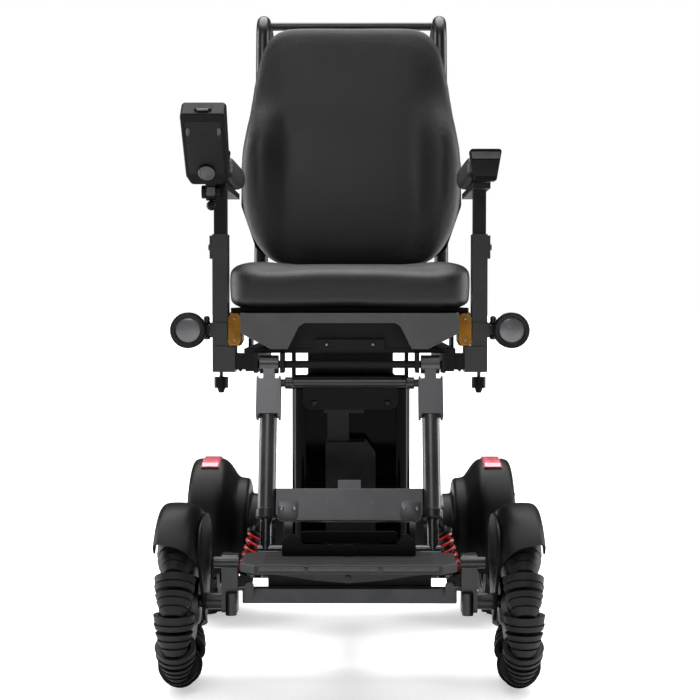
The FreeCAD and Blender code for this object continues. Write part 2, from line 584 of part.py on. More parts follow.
# ---- seat frame ----
seat_parts = [
    box("deck", "-deck_half", "deck_half", at("seat_front_d + 20"), at("seat_rear_d"), "deck_low",
        "deck_top"),
    box("tray_neck", "-tray_half + 8", "tray_half - 8", at("226"), at("336"), "tray_low + 40", "deck_low"),
    box("recess_panel", "-100", "100", at("seat_front_d + 22"), at("seat_front_d + 27"), "deck_low",
        "pan_top - 14"),
    box("holed_plate", "-56", "56", at("seat_front_d + 14"), at("seat_front_d + 22"), "plate_z - 10",
        "plate_z + 8"),
    rod("rear_shaft_high", "x", "shaft_r", "-98", "98", at("150"), "508"),
    rod("rear_shaft_low", "x", "shaft_r * 0.7", "-98", "98", at("150"), "486"),
]
for side, sign in (("left", 1), ("right", -1)):
    for label, first, last, front, rear, bottom, top in (
            ("hanger", 92, 98, 138, 164, 478, 531), ("side_rail", 150, 170, 60, 440, 500, 531),
            ("hinge_plate_in", 106, 112, 26, 80, 499, 531), ("hinge_plate_out", 148, 154, 26, 80, 499, 531),
            ("socket_arm", 168, 187.8, 78, 122, 502, 528),
            ("back_bracket", 184.5, 190.5, 406, 462, 505, 622),
            ("back_bracket_foot", 168, 190.5, 392, 440, 505, 529)):
        ends = sorted((sign * first, sign * last))
        seat_parts.append(box(f"{label}_{side}", ends[0], ends[1], at(front), at(rear), bottom, top))
for side, sign in (("left", ""), ("right", "-")):
    brace = slab(f"brace_{side}", "XZ_Plane", [
        (f"{sign}150", "deck_low + 1"), (f"{sign}162", "deck_low + 1"), (f"{sign}187.6", "506"),
        (f"{sign}180", "498")], "10")
    seat_parts.append(place(brace, y=at("post_d - 13")))
seat_parts.append(rod("leg_shaft", "x", "6", "-154", "154", at("leg_hinge_d"), "leg_hinge_z"))
tray = slab("tray", "XZ_Plane", [
    ("-tray_half", "tray_low"), ("tray_half", "tray_low"), ("tray_half", "tray_low + 60"),
    ("-tray_half", "tray_low + 60")], "140", "14")
seat_parts.append(place(tray, y=at("275")))
seat_holes = [rod(f"plate_hole_{side}", "y", "plate_hole_r", at("seat_front_d + 10"),
                  at("seat_front_d + 22"), f"{sign}plate_hole_x", "plate_z")
              for side, sign in (("left", ""), ("right", "-"))]
seat_holes.append(rod("back_pivot_hole", "x", "6 + clearance", "-220", "220", at("recline_d"),
                      "recline_z"))
node("seat_frame", cut("seat_frame_parts", fuse("seat_frame_solid", *seat_parts), *seat_holes))

pan_front = slab("pan_front", "XZ_Plane", [
    ("-pan_half", "pan_top"), ("-pan_half", "pan_top - 32"), ("-127", "pan_low"), ("-100", "pan_low"),
    ("-82", "pan_low + 36"), ("-73", "pan_low + 42"), ("73", "pan_low + 42"), ("82", "pan_low + 36"),
    ("100", "pan_low"), ("127", "pan_low"), ("pan_half", "pan_top - 32"), ("pan_half", "pan_top")],
    "pan_wall", None, "1.5")
place(pan_front, y=at("seat_front_d - 6"))
pan_deck = box("pan_deck", "-pan_half", "pan_half", at("seat_front_d - 6"), at("seat_rear_d - 30"),
               "pan_top - 8", "pan_top")
pan_ribs = [box(f"pan_rib_{index}", x, f"{x} + 8", at("seat_front_d + 40"), at("seat_rear_d - 40"),
                "deck_top", "pan_top - 6") for index, x in enumerate(("-150", "-60", "52", "142"))]
node("seat_pan", fuse("pan_parts", pan_front, pan_deck, *pan_ribs))

cushion = slab("cushion", "XY_Plane", [
    ("-cushion_half", "seat_front_d - 8"), ("cushion_half", "seat_front_d - 8"),
    ("cushion_half", "cushion_rear_d"), ("-cushion_half", "cushion_rear_d")],
    "cushion_top - cushion_low", "40", "22")
place(cushion, "0", "axle_y", "(cushion_low + cushion_top) / 2")
cushion_step = box("cushion_step", "-250", "250", at("cushion_rear_d - 48"), at("cushion_rear_d + 10"),
                   "cushion_top - 15", "cushion_top + 20")
node("seat_cushion", cut("cushion_parts", cushion, cushion_step))

# ---- armrests ----
collar = slab("collar", "XZ_Plane", [
    ("pan_half + 1", "collar_low + 8"), ("pan_half + 5", "collar_low"), ("post_x - 17", "collar_low"),
    ("post_x - 13", "collar_low + 8"), ("post_x - 13", "collar_top - 8"), ("post_x - 17", "collar_top"),
    ("pan_half + 5", "collar_top"), ("pan_half + 1", "collar_top - 8")], "54", None, "2")
place(collar, y=at("post_d"))
node("side_collars", group("collar_pair", collar, mirrored("collar_other", collar)))

sleeve_tube = box("sleeve_tube", "post_x - sleeve_half", "post_x + sleeve_half", at("post_d - 20"),
                  at("post_d + 20"), "sleeve_low", "sleeve_top")
sleeve_block = box("sleeve_block", "post_x - 25", "post_x + 7", at("post_d - 25"), at("post_d + 25"),
                   "sleeve_low", "sleeve_low + 42")
latch_plate = box("latch_plate", "post_x + sleeve_half", "post_x + sleeve_half + 5", at("post_d - 14"),
                  at("post_d + 14"), "sleeve_top - 40", "sleeve_top - 2")
latch_bolt = rod("latch_bolt", "x", "5", "post_x + sleeve_half", "post_x + sleeve_half + 8",
                 at("post_d"), "sleeve_top - 21")
knob_stud = rod("knob_stud", "z", "3", "knob_z + 4", "sleeve_low + 2", "post_x", at("post_d"))
sleeve_bore = box("sleeve_bore", "post_x - sleeve_half + sleeve_wall - clearance",
                  "post_x + sleeve_half - sleeve_wall + clearance",
                  at("post_d - 20 + sleeve_wall - clearance"), at("post_d + 20 - sleeve_wall + clearance"),
                  "post_low - 60", "sleeve_top + 10")
pair("armrest_sleeve", cut("sleeve_parts", fuse("sleeve_solid", sleeve_tube, sleeve_block, latch_plate,
                                                latch_bolt, knob_stud), sleeve_bore))
post = box("post_bar", "post_x - sleeve_half + sleeve_wall", "post_x + sleeve_half - sleeve_wall",
           at("post_d - 20 + sleeve_wall"), at("post_d + 20 - sleeve_wall"), "post_low", "post_top")
pad_rail = box("pad_rail", "post_x - 14", "post_x + 14", at("pad_front_d - 16"), at("pad_rear_d - 30"),
               "post_top - 6", "pad_low - 0.4")
pair("armrest_post", fuse("post_parts", post, pad_rail))

knob_body = rod("knob_body", "z", "knob_r", "knob_z - 9", "knob_z + 9", "post_x", at("post_d"))
knob_tip = cone("knob_tip", "z", "4", "7", "knob_z - 17", "knob_z - 9", "post_x", at("post_d"))
knob_lobes = []
for index in range(6):
    lobe = rod(f"knob_lobe_{index}", "z", "2.4", "knob_z - 12", "knob_z + 12",
               f"post_x + (knob_r + 0.8) * cos({index * 60})",
               at(f"post_d + (knob_r + 0.8) * sin({index * 60})"))
    knob_lobes.append(lobe)
knob_bore = rod("knob_bore", "z", "3 + clearance", "knob_z + 3", "knob_z + 12", "post_x", at("post_d"))
pair("armrest_knob", cut("knob_parts", fuse("knob_solid", knob_body, knob_tip), knob_bore, *knob_lobes))

pad = slab("pad", "XZ_Plane", [
    ("pad_inner", "pad_low"), ("pad_outer", "pad_low"), ("pad_outer", "pad_top"), ("pad_inner", "pad_top")],
    "pad_rear_d - pad_front_d", "18", "7")
pair("armrest_pad", place(pad, y=at("(pad_rear_d + pad_front_d) / 2")))
cap = slab("cap", "XZ_Plane", [
    ("post_x - 12", "pad_low + 1"), ("post_x + 23", "pad_low + 1"), ("post_x + 32", "pad_top + 1"),
    ("post_x - 21", "pad_top + 1")], "cap_depth", "5", "2")
place(cap, y=at("pad_front_d - cap_depth / 2 - 1"))
pair("armrest_cap", cap)

# ---- headlamps ----
band = box("lamp_band", "post_x - sleeve_half", "post_x + sleeve_half + 4", at("post_d - 24"),
           at("post_d + 24"), "lamp_head_z - clamp_half_height + 3", "lamp_head_z + clamp_half_height - 3")
band_hole = box("lamp_band_hole", "post_x - sleeve_half - 0.02", "post_x + sleeve_half + 0.02",
                at("post_d - 20.02"), at("post_d + 20.02"), "lamp_head_z - 40", "lamp_head_z + 40")
band_ear = box("lamp_band_ear", "post_x + sleeve_half + 3", "lamp_bolt_x + 6", at("lamp_bolt_d - 6"),
               at("lamp_bolt_d + 6"), "lamp_head_z - 8", "lamp_head_z + 8")
band_bolt = rod("lamp_band_bolt", "z", "3", "lamp_head_z - 16", "lamp_head_z + 16", "lamp_bolt_x",
                at("lamp_bolt_d"))
band_head = ball("lamp_band_head", "5.5", "lamp_bolt_x", at("lamp_bolt_d"), "lamp_head_z + 18")
left_clamp = fuse("clamp_parts", cut("clamp_band", band, band_hole), band_ear, band_bolt, band_head)
node("headlamp_clamps", group("clamp_pair", left_clamp, mirrored("clamp_other", left_clamp)))

head = turned("head_shape", [
    ("0", "0"), ("0", "lamp_head_r - 8.5"), ("-4", "lamp_head_r - 7"), ("-4", "lamp_head_r - 1.5"),
    ("-2.5", "lamp_head_r"), ("14", "lamp_head_r"), ("22", "lamp_head_r - 6"), ("34", "lamp_head_r - 14"),
    ("34", "0")])
place(head, "lamp_head_x", at("lamp_front_d + 4"), "lamp_head_z", "z", "90")
fork = []
for index, (low, high) in enumerate((("lamp_head_z + 8.3", "lamp_head_z + 12.3"),
                                     ("lamp_head_z - 12.3", "lamp_head_z - 8.3"))):
    fork.append(box(f"lamp_fork_{index}", "lamp_bolt_x", "lamp_head_x - 10", at("lamp_bolt_d - 6"),
                    at("lamp_bolt_d + 6"), low, high))
    fork.append(rod(f"lamp_fork_end_{index}", "z", "6", low, high, "lamp_bolt_x", at("lamp_bolt_d")))
fork_back = box("lamp_fork_back", "lamp_head_x - 13", "lamp_head_x + 4", at("lamp_front_d + 20"),
                at("lamp_bolt_d + 6"), "lamp_head_z - 12.3", "lamp_head_z + 12.3")
fork_bore = rod("lamp_fork_bore", "z", "3 + clearance", "lamp_head_z - 30", "lamp_head_z + 30",
                "lamp_bolt_x", at("lamp_bolt_d"))
pair("headlamp", cut("head_parts", fuse("head_solid", head, fork_back, *fork), fork_bore))

# ---- controller, built upright with its underside to the front and then tilted ----

def tilted(item):
    return place(item, "-remote_x", at("remote_y_d"), "remote_z", "x", "remote_tilt")


case_block = slab("case_block", "XZ_Plane", [
    ("-remote_width / 2 + 9", "4"), ("remote_width / 2 - 9", "4"), ("remote_width / 2 - 1.5", "20"),
    ("remote_width / 2", "remote_length"), ("-remote_width / 2", "remote_length"),
    ("-remote_width / 2 + 1.5", "20")], "remote_depth", "7", "3")
cap_round = rod("case_cap", "y", "14", "-remote_depth / 2 - 5", "-remote_depth / 2 + 2", "0", "30")
port = box("case_port", "-13", "13", "-7", "5", "remote_length - 2", "remote_length + 3")
socket = ball("case_socket", "gimbal_r + 1", "0", "remote_depth / 2 - 1", "stick_z")
button_hole = rod("case_button_hole", "y", "6.05", "remote_depth / 2 - 8", "remote_depth / 2 + 4", "-20",
                  "100")
rocker_hole = box("case_rocker_hole", "8", "30", "remote_depth / 2 - 9", "remote_depth / 2 + 4", "88", "112")
slots = [box(f"case_slot_{index}", f"{x} - 3", f"{x} + 3", "-remote_depth / 2 - 2", "-remote_depth / 2 + 3",
             "remote_length - 40", "remote_length - 24") for index, x in enumerate(("-26", "26"))]
case_pins = rod("case_pins", "x", "1.5", "-gimbal_r - 3", "-gimbal_r + 4", "remote_depth / 2 - 1",
                "stick_z")
case_pins_far = rod("case_pins_far", "x", "1.5", "gimbal_r - 4", "gimbal_r + 3", "remote_depth / 2 - 1",
                    "stick_z")
rocker_axle = rod("case_rocker_axle", "x", "1.5", "7", "31", "remote_depth / 2 - 4", "100")
drum_y = "-(drum_drop * sin(remote_tilt))"
drum_z = "-(drum_drop * cos(remote_tilt))"
collar_ring = rod("case_collar", "x", "14", "-4", "11", drum_y, drum_z)
collar_neck = box("case_neck", "-4", "11", f"{drum_y} - 6", f"{drum_y} + 14", f"{drum_z}", "8")
collar_bore = rod("case_collar_bore", "x", "10.5 + clearance", "-20", "30", drum_y, drum_z)
case_solid = cut("case_hollowed", fuse("case_solid", case_block, cap_round, port, collar_ring,
                                       collar_neck), socket, button_hole, rocker_hole, collar_bore, *slots)
case_tilted = tilted(fuse("case_parts", case_solid, case_pins, case_pins_far, rocker_axle))
clamp_screw = rod("clamp_screw", "z", "3", "remote_z - drum_drop - 22", "remote_z - drum_drop - 12",
                  "-remote_x + 4", at("remote_y_d"))
clamp_ball = ball("clamp_ball", "8", "-remote_x + 4", at("remote_y_d"), "remote_z - drum_drop - 21.5")
node("controller_case", fuse("case_with_screw", case_tilted, clamp_screw, clamp_ball))

gimbal_ring = rod("gimbal_outer", "y", "gimbal_r - 2", "-3", "3", "0", "0")
gimbal_hole = rod("gimbal_hole", "y", "gimbal_r - 7", "-6", "6", "0", "0")
gimbal_bores = rod("gimbal_bores", "x", "1.5 + clearance", "-30", "30", "0", "0")
gimbal_pins = rod("gimbal_pins", "z", "1.5", "-gimbal_r + 5", "gimbal_r - 5", "0", "0")
gimbal = fuse("gimbal_parts", cut("gimbal_body", gimbal_ring, gimbal_hole, gimbal_bores), gimbal_pins)
gimbal_placed = place(group("gimbal_seated", gimbal), "0", "remote_depth / 2 - 1", "stick_z")
node("joystick_gimbal", tilted(group("gimbal_group", gimbal_placed)))
stick_yoke = ball("stick_yoke", "gimbal_r - 9", "0", "0", "0")
stick_shaft = rod("stick_shaft", "y", "4", "0", "26", "0", "0")
stick_boot = cone("stick_boot", "y", "12", "5", "7", "16", "0", "0")
stick_ball = ball("stick_ball", "stick_ball_r", "0", "34", "0")
stick_bore = rod("stick_bore", "z", "1.5 + clearance", "-20", "20", "0", "0")
stick = fuse("stick_parts", cut("stick_core", fuse("stick_solid", stick_yoke, stick_shaft), stick_bore),
             stick_boot, stick_ball)
stick_placed = place(group("stick_seated", stick), "0", "remote_depth / 2 - 1", "stick_z")
node("joystick", tilted(group("stick_group", stick_placed)))

button = rod("button", "y", "6", "remote_depth / 2 - 6", "remote_depth / 2 + 2", "-20", "100")
node("power_button", tilted(group("button_group", button)))
rocker_body = box("rocker_body", "9", "29", "remote_depth / 2 - 7", "remote_depth / 2 + 2", "90", "110")
rocker_bore = rod("rocker_bore", "x", "1.5 + clearance", "0", "40", "remote_depth / 2 - 4", "100")
node("speed_rocker", tilted(cut("rocker_parts", rocker_body, rocker_bore)))

bracket_drum = rod("bracket_drum", "x", "10.5", "-remote_x - 11", "-remote_x + 19", at("remote_y_d"),
                   "remote_z - drum_drop")
bracket_arm = box("bracket_arm", "-remote_x + 13", "-post_x + 14", at("remote_y_d - 4"),
                  at("pad_front_d - 16.2"), "post_top - 22", "post_top - 6.2")
bracket_hook = box("bracket_hook", "-remote_x + 13", "-post_x + 14", at("pad_front_d - 40"),
                   at("pad_front_d - 16.2"), "post_top - 22", "pad_low - 3")
node("controller_bracket", fuse("bracket_parts", bracket_drum, bracket_arm, bracket_hook))

# ---- backrest, built upright on its recline pivot and then reclined ----

def reclined(item):
    return place(item, "0", at("recline_d"), "recline_z", "x", "-recline_rest")


pillars = []
for side, sign in (("left", 1), ("right", -1)):
    across = sign * number("handle_x")
    top = number("handle_top")
    reach = number("handle_reach")
    route = [vector(across, 6, -20), vector(across, 6, top), vector(across, 6 + reach, top),
             vector(across, 6 + reach, top - 70)]
    pillars.append(bent_tube(f"pillar_{side}", route, number("handle_bend"), number("handle_r")))
cross_tubes = [
    rod("back_cross_low", "x", "11", "-handle_x", "handle_x", "6", "60"),
    rod("back_cross_high", "x", "11", "-handle_x", "handle_x", "6", "430"),
    rod("handle_bar", "x", "bar_r", "-handle_x", "handle_x", "handle_reach / 2 + 6", "handle_top"),
]
stub = turned("pivot_stub", [
    ("handle_x - 6", "0"), ("handle_x - 6", "14"), ("handle_x + 14", "14"), ("handle_x + 14", "6"),
    ("handle_x + 21", "6"), ("handle_x + 21", "0")])
back_tubes = pillars[0]
for index, tube in enumerate([pillars[1]] + cross_tubes + [stub, mirrored("pivot_stub_far", stub)]):
    back_tubes = fuse(f"back_tubes_{index}", back_tubes, tube)
node("backrest_frame", reclined(group("back_frame_group", back_tubes)))

shell = slab("shell_panel", "XZ_Plane", [
    ("-112", "back_low + 2"), ("112", "back_low + 2"), ("shell_half - 30", "back_low + 34"),
    ("shell_half", "back_low + 120"), ("shell_half", "back_low + 200"), ("168", "back_top - 60"),
    ("-168", "back_top - 60"), ("-shell_half", "back_low + 200"), ("-shell_half", "back_low + 120"),
    ("-shell_half + 30", "back_low + 34")], "shell_wall", "20")
shell_placed = place(shell, y="-8 - shell_wall / 2")
node("back_shell", reclined(group("shell_group", shell_placed)))
back_pad = slab("back_pad", "XZ_Plane", [
    ("-112", "back_low"), ("112", "back_low"), ("back_half - 34", "back_low + 28"),
    ("back_half", "back_low + 110"), ("back_half", "back_low + 220"), ("176", "back_top - 70"),
    ("150", "back_top - 18"), ("100", "back_top"), ("-100", "back_top"), ("-150", "back_top - 18"),
    ("-176", "back_top - 70"), ("-back_half", "back_low + 220"), ("-back_half", "back_low + 110"),
    ("-back_half + 34", "back_low + 28")], "back_rear - back_front - 0.6", "18", "14")
back_placed = place(back_pad, y="(back_front + back_rear) / 2 - 0.3")
node("back_cushion", reclined(group("back_pad_group", back_placed)))

# ---- leg rest ----

def hung(item):
    return place(item, "0", at("leg_hinge_d"), "leg_hinge_z", "x", "-leg_tilt")


leg_parts = []
leg_bores = []
for side, sign in (("left", 1), ("right", -1)):
    across = f"{sign} * leg_x"
    leg_parts.append(rod(f"leg_knuckle_{side}", "x", "15", f"{across} - 15", f"{across} + 15", "0", "0"))
    leg_parts.append(box(f"leg_neck_{side}", f"{across} - 9", f"{across} + 9", "-11", "11", "-30", "0"))
    leg_parts.append(box(f"leg_block_{side}", f"{across} - block_half", f"{across} + block_half", "-16",
                         "16", "leg_tube_top", "-28"))
    for face, offset in (("in", -19.5), ("out", 16)):
        leg_parts.append(box(f"leg_side_{face}_{side}", f"{across} + {offset}", f"{across} + {offset} + 3.5",
                             "-14", "14", "leg_tube_top - 4", "-24"))
    leg_parts.append(rod(f"leg_tube_{side}", "z", "leg_tube_r", "leg_tube_end", "leg_tube_top + 4", across,
                         "0"))
    leg_bores.append(rod(f"leg_bore_{side}", "z", "slider_r + clearance", "leg_tube_end - 10",
                         "leg_tube_top - 6", across, "0"))
leg_bores.append(rod("leg_hinge_bore", "x", "6 + clearance", "-200", "200", "0", "0"))
node("leg_rest_frame", hung(cut("leg_parts", fuse("leg_solid", *leg_parts), *leg_bores)))

panel = slab("panel", "XZ_Plane", [
    ("-panel_half", "panel_top"), ("panel_half", "panel_top"), ("panel_half", "panel_low + 12"),
    ("panel_half - 3.5", "panel_low + 3.5"), ("panel_half - 12", "panel_low"),
    ("-panel_half + 12", "panel_low"), ("-panel_half + 3.5", "panel_low + 3.5"),
    ("-panel_half", "panel_low + 12")], "panel_wall", None, "1.5")
panel_block = box("panel_block", "-18", "18", "-panel_wall / 2 + 2", "panel_wall / 2", "panel_top - 2",
                  "panel_top + 14")
node("leg_rest_panel", hung(fuse("panel_parts", panel, panel_block)))

slider_parts = []
for side, sign in (("left", 1), ("right", -1)):
    across = f"{sign} * leg_x"
    slider_parts.append(rod(f"slider_{side}", "z", "slider_r", "slider_end", "leg_tube_top - 70", across,
                            "0"))
slider_parts.append(rod("slider_cross", "x", "8", "-leg_x - 12", "leg_x + 12", "0", "slider_end + 2"))
slider_tubes = hung(fuse("slider_tubes", *slider_parts))
lugs = []
for index, across in enumerate((-96, 88)):
    lugs.append(box(f"foot_lug_{index}", across, f"{across} + 8", at("plate_hinge_d - 9"),
                    at("leg_hinge_d - 102"), "plate_hinge_z - 9", "plate_hinge_z + 9"))
foot_pin = rod("foot_pin", "x", "foot_pin_r", "-110", "110", at("plate_hinge_d"), "plate_hinge_z")
node("footrest_slider", fuse("slider_all", slider_tubes, foot_pin, *lugs))

tread = slab("tread", "XY_Plane", [
    ("-footplate_half + 22", "footplate_front_d"), ("footplate_half - 22", "footplate_front_d"),
    ("footplate_half", "footplate_front_d + 22"), ("footplate_half", "plate_hinge_d - 14"),
    ("-footplate_half", "plate_hinge_d - 14"), ("-footplate_half", "footplate_front_d + 22")],
    "footplate_wall", None, "3")
place(tread, "0", "axle_y", "plate_hinge_z + 2")
rib = slab("tread_rib", "XZ_Plane", [
    ("-footplate_half + 22", "plate_hinge_z - 4"), ("-90", "plate_hinge_z - 10"),
    ("-50", "plate_hinge_z - 16"), ("0", "plate_hinge_z - 20"), ("50", "plate_hinge_z - 16"),
    ("90", "plate_hinge_z - 10"), ("footplate_half - 22", "plate_hinge_z - 4")], "60")
place(rib, y=at("footplate_front_d + 46"))
knuckles = [rod(f"tread_knuckle_{index}", "x", "9", low, high, at("plate_hinge_d"), "plate_hinge_z")
            for index, (low, high) in enumerate(((-109, -97), (-87.5, 87.5), (97, 109)))]
knuckle_arms = [box(f"tread_arm_{index}", low, high, at("plate_hinge_d - 20"), at("plate_hinge_d - 4"),
                    "plate_hinge_z - 5", "plate_hinge_z + 9")
                for index, (low, high) in enumerate(((-109, -97), (-87.5, 87.5), (97, 109)))]
tread_bore = rod("tread_bore", "x", "foot_pin_r + clearance", "-200", "200", at("plate_hinge_d"),
                 "plate_hinge_z")
node("footplate", cut("tread_parts", fuse("tread_solid", tread, rib, *knuckles, *knuckle_arms), tread_bore))
guard = slab("guard", "XZ_Plane", [
    ("-guard_half", "plate_hinge_z + 9.2"), ("guard_half", "plate_hinge_z + 9.2"),
    ("guard_half", "guard_top - 10"), ("guard_half - 12", "guard_top"), ("82", "guard_top"),
    ("70", "guard_middle"), ("-70", "guard_middle"), ("-82", "guard_top"),
    ("-guard_half + 12", "guard_top"), ("-guard_half", "guard_top - 10")], "guard_wall", "3")
node("heel_guard", place(guard, y=at("guard_d")))

# ---- check and write ----
document.recompute()
faults = [item.Name for item in document.Objects if {"Invalid", "Error"} & set(item.State)]
faults += [item.Label for item in nodes if item.Shape.isNull() or not item.Shape.isValid()]
if faults:
    raise SystemExit("failed: " + ", ".join(faults))
os.makedirs("parts", exist_ok=True)
for item in nodes:
    item.Shape.exportStep(f"parts/{item.Label}.step")
    bounds = item.Shape.BoundBox
    print(f"{item.Label:22s} solids {len(item.Shape.Solids):3d} volume {item.Shape.Volume / 1000:9.1f} "
          f"x {bounds.XMin:7.1f} {bounds.XMax:7.1f} y {bounds.YMin:7.1f} {bounds.YMax:7.1f} "
          f"z {bounds.ZMin:7.1f} {bounds.ZMax:7.1f}")
print(len(nodes), "nodes")
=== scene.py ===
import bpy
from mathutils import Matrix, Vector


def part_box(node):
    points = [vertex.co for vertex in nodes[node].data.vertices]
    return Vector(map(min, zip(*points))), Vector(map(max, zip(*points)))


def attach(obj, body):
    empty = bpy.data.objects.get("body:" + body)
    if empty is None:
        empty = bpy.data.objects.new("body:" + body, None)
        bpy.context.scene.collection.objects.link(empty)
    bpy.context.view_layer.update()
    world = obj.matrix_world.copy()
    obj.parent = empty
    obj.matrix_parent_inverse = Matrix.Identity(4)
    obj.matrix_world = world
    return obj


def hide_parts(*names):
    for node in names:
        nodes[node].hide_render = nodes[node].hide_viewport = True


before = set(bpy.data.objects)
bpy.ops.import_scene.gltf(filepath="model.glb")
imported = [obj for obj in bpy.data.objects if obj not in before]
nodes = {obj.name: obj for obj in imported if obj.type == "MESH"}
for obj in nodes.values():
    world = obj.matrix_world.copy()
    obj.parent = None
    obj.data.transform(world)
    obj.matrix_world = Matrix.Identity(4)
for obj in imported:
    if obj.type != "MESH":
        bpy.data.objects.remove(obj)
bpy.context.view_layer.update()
import math
import bmesh
import bpy
from mathutils import Matrix, Vector

scene = bpy.context.scene
axleY = sum(corner[1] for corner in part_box("front_hub_left")) / 2  # the front axle's place along Y
print("frame loaded:", len(nodes), "CAD pieces")


def ends(node):
    # a CAD piece's lowest and highest corners
    return [Vector(corner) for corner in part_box(node)]


def linear(hexColour):
    # sRGB hex to the linear values that shaders take
    parts = [int(hexColour[i:i + 2], 16) / 255 for i in (1, 3, 5)]
    return tuple(p / 12.92 if p <= 0.04045 else ((p + 0.055) / 1.055) ** 2.4 for p in parts) + (1.0,)


def addNode(tree, kind, settings=None, values=None, links=None):
    # one node with its settings, its plain input values and its input links
    node = tree.nodes.new(kind)
    for key, value in (settings or {}).items():
        setattr(node, key, value)
    for key, value in (values or {}).items():
        node.inputs[key].default_value = value
    for key, source in (links or {}).items():
        tree.links.new(source, node.inputs[key])
    return node


def setRamp(node, stops):
    # colour ramp stops as (place, hex)
    ramp = node.color_ramp
    while len(ramp.elements) < len(stops):
        ramp.elements.new(0.5)
    for element, (place, colour) in zip(ramp.elements, stops):
        element.position = place
        element.color = linear(colour)
    return node


def baseMaterial(name, look):
    # a principled surface: look gives its colour pair, roughness pair, pattern sizes in mm and fixed values
    material = bpy.data.materials.new(name)
    material.use_nodes = True
    tree = material.node_tree
    tree.nodes.clear()
    out = addNode(tree, "ShaderNodeOutputMaterial")
    surface = addNode(tree, "ShaderNodeBsdfPrincipled", values=look.get("fixed", {}))
    tree.links.new(surface.outputs["BSDF"], out.inputs["Surface"])
    place = addNode(tree, "ShaderNodeTexCoord")
    # broad, faint change of colour and gloss, as handling and moulding leave
    broad = addNode(tree, "ShaderNodeTexNoise", values={"Scale": 1000 / look["patchMm"], "Detail": 4.0,
                    "Roughness": 0.6}, links={"Vector": place.outputs["Object"]})
    tint = setRamp(addNode(tree, "ShaderNodeValToRGB", links={"Fac": broad.outputs["Fac"]}),
                   [(0.3, look["dark"]), (0.7, look["light"])])
    gloss = addNode(tree, "ShaderNodeMapRange", values={"From Min": 0.3, "From Max": 0.7,
                    "To Min": look["rough"][0], "To Max": look["rough"][1]},
                    links={"Value": broad.outputs["Fac"]})
    tree.links.new(tint.outputs["Color"], surface.inputs["Base Color"])
    tree.links.new(gloss.outputs["Result"], surface.inputs["Roughness"])
    return material, tree, surface, place


def grainBump(tree, surface, height, distanceMm, strength=1.0):
    bump = addNode(tree, "ShaderNodeBump", values={"Strength": strength, "Distance": distanceMm / 1000},
                   links={"Height": height})
    tree.links.new(bump.outputs["Normal"], surface.inputs["Normal"])


def grained(name, look):
    # moulded or coated surface with a fine even grain
    material, tree, surface, place = baseMaterial(name, look)
    fine = addNode(tree, "ShaderNodeTexNoise", values={"Scale": 1000 / look["grainMm"], "Detail": 3.0},
                   links={"Vector": place.outputs["Object"]})
    grainBump(tree, surface, fine.outputs["Fac"], look["deepMm"], look.get("strength", 0.6))
    return material


def leather(name, look):
    # pebbled hide: rounded cells with creases between them and softer wrinkles over the top
    material, tree, surface, place = baseMaterial(name, look)
    cells = addNode(tree, "ShaderNodeTexVoronoi", settings={"feature": "SMOOTH_F1"},
                    values={"Scale": 1000 / look["grainMm"], "Smoothness": 0.6},
                    links={"Vector": place.outputs["Object"]})
    wrinkles = addNode(tree, "ShaderNodeTexNoise", values={"Scale": 1000 / look["wrinkleMm"],
                       "Detail": 6.0, "Distortion": 0.8}, links={"Vector": place.outputs["Object"]})
    mixed = addNode(tree, "ShaderNodeMath", settings={"operation": "MULTIPLY_ADD"}, values={1: -1.4},
                    links={0: cells.outputs["Distance"], 2: wrinkles.outputs["Fac"]})
    grainBump(tree, surface, mixed.outputs["Value"], look["deepMm"], 0.5)
    return material


def brushed(name, look, stretch):
    # metal with fine lines along one direction
    material, tree, surface, place = baseMaterial(name, look)
    mapped = addNode(tree, "ShaderNodeMapping", values={"Scale": stretch},
                     links={"Vector": place.outputs["Object"]})
    lines = addNode(tree, "ShaderNodeTexNoise", values={"Scale": 1000 / look["grainMm"], "Detail": 2.0},
                    links={"Vector": mapped.outputs["Vector"]})
    grainBump(tree, surface, lines.outputs["Fac"], look["deepMm"], 0.35)
    return material


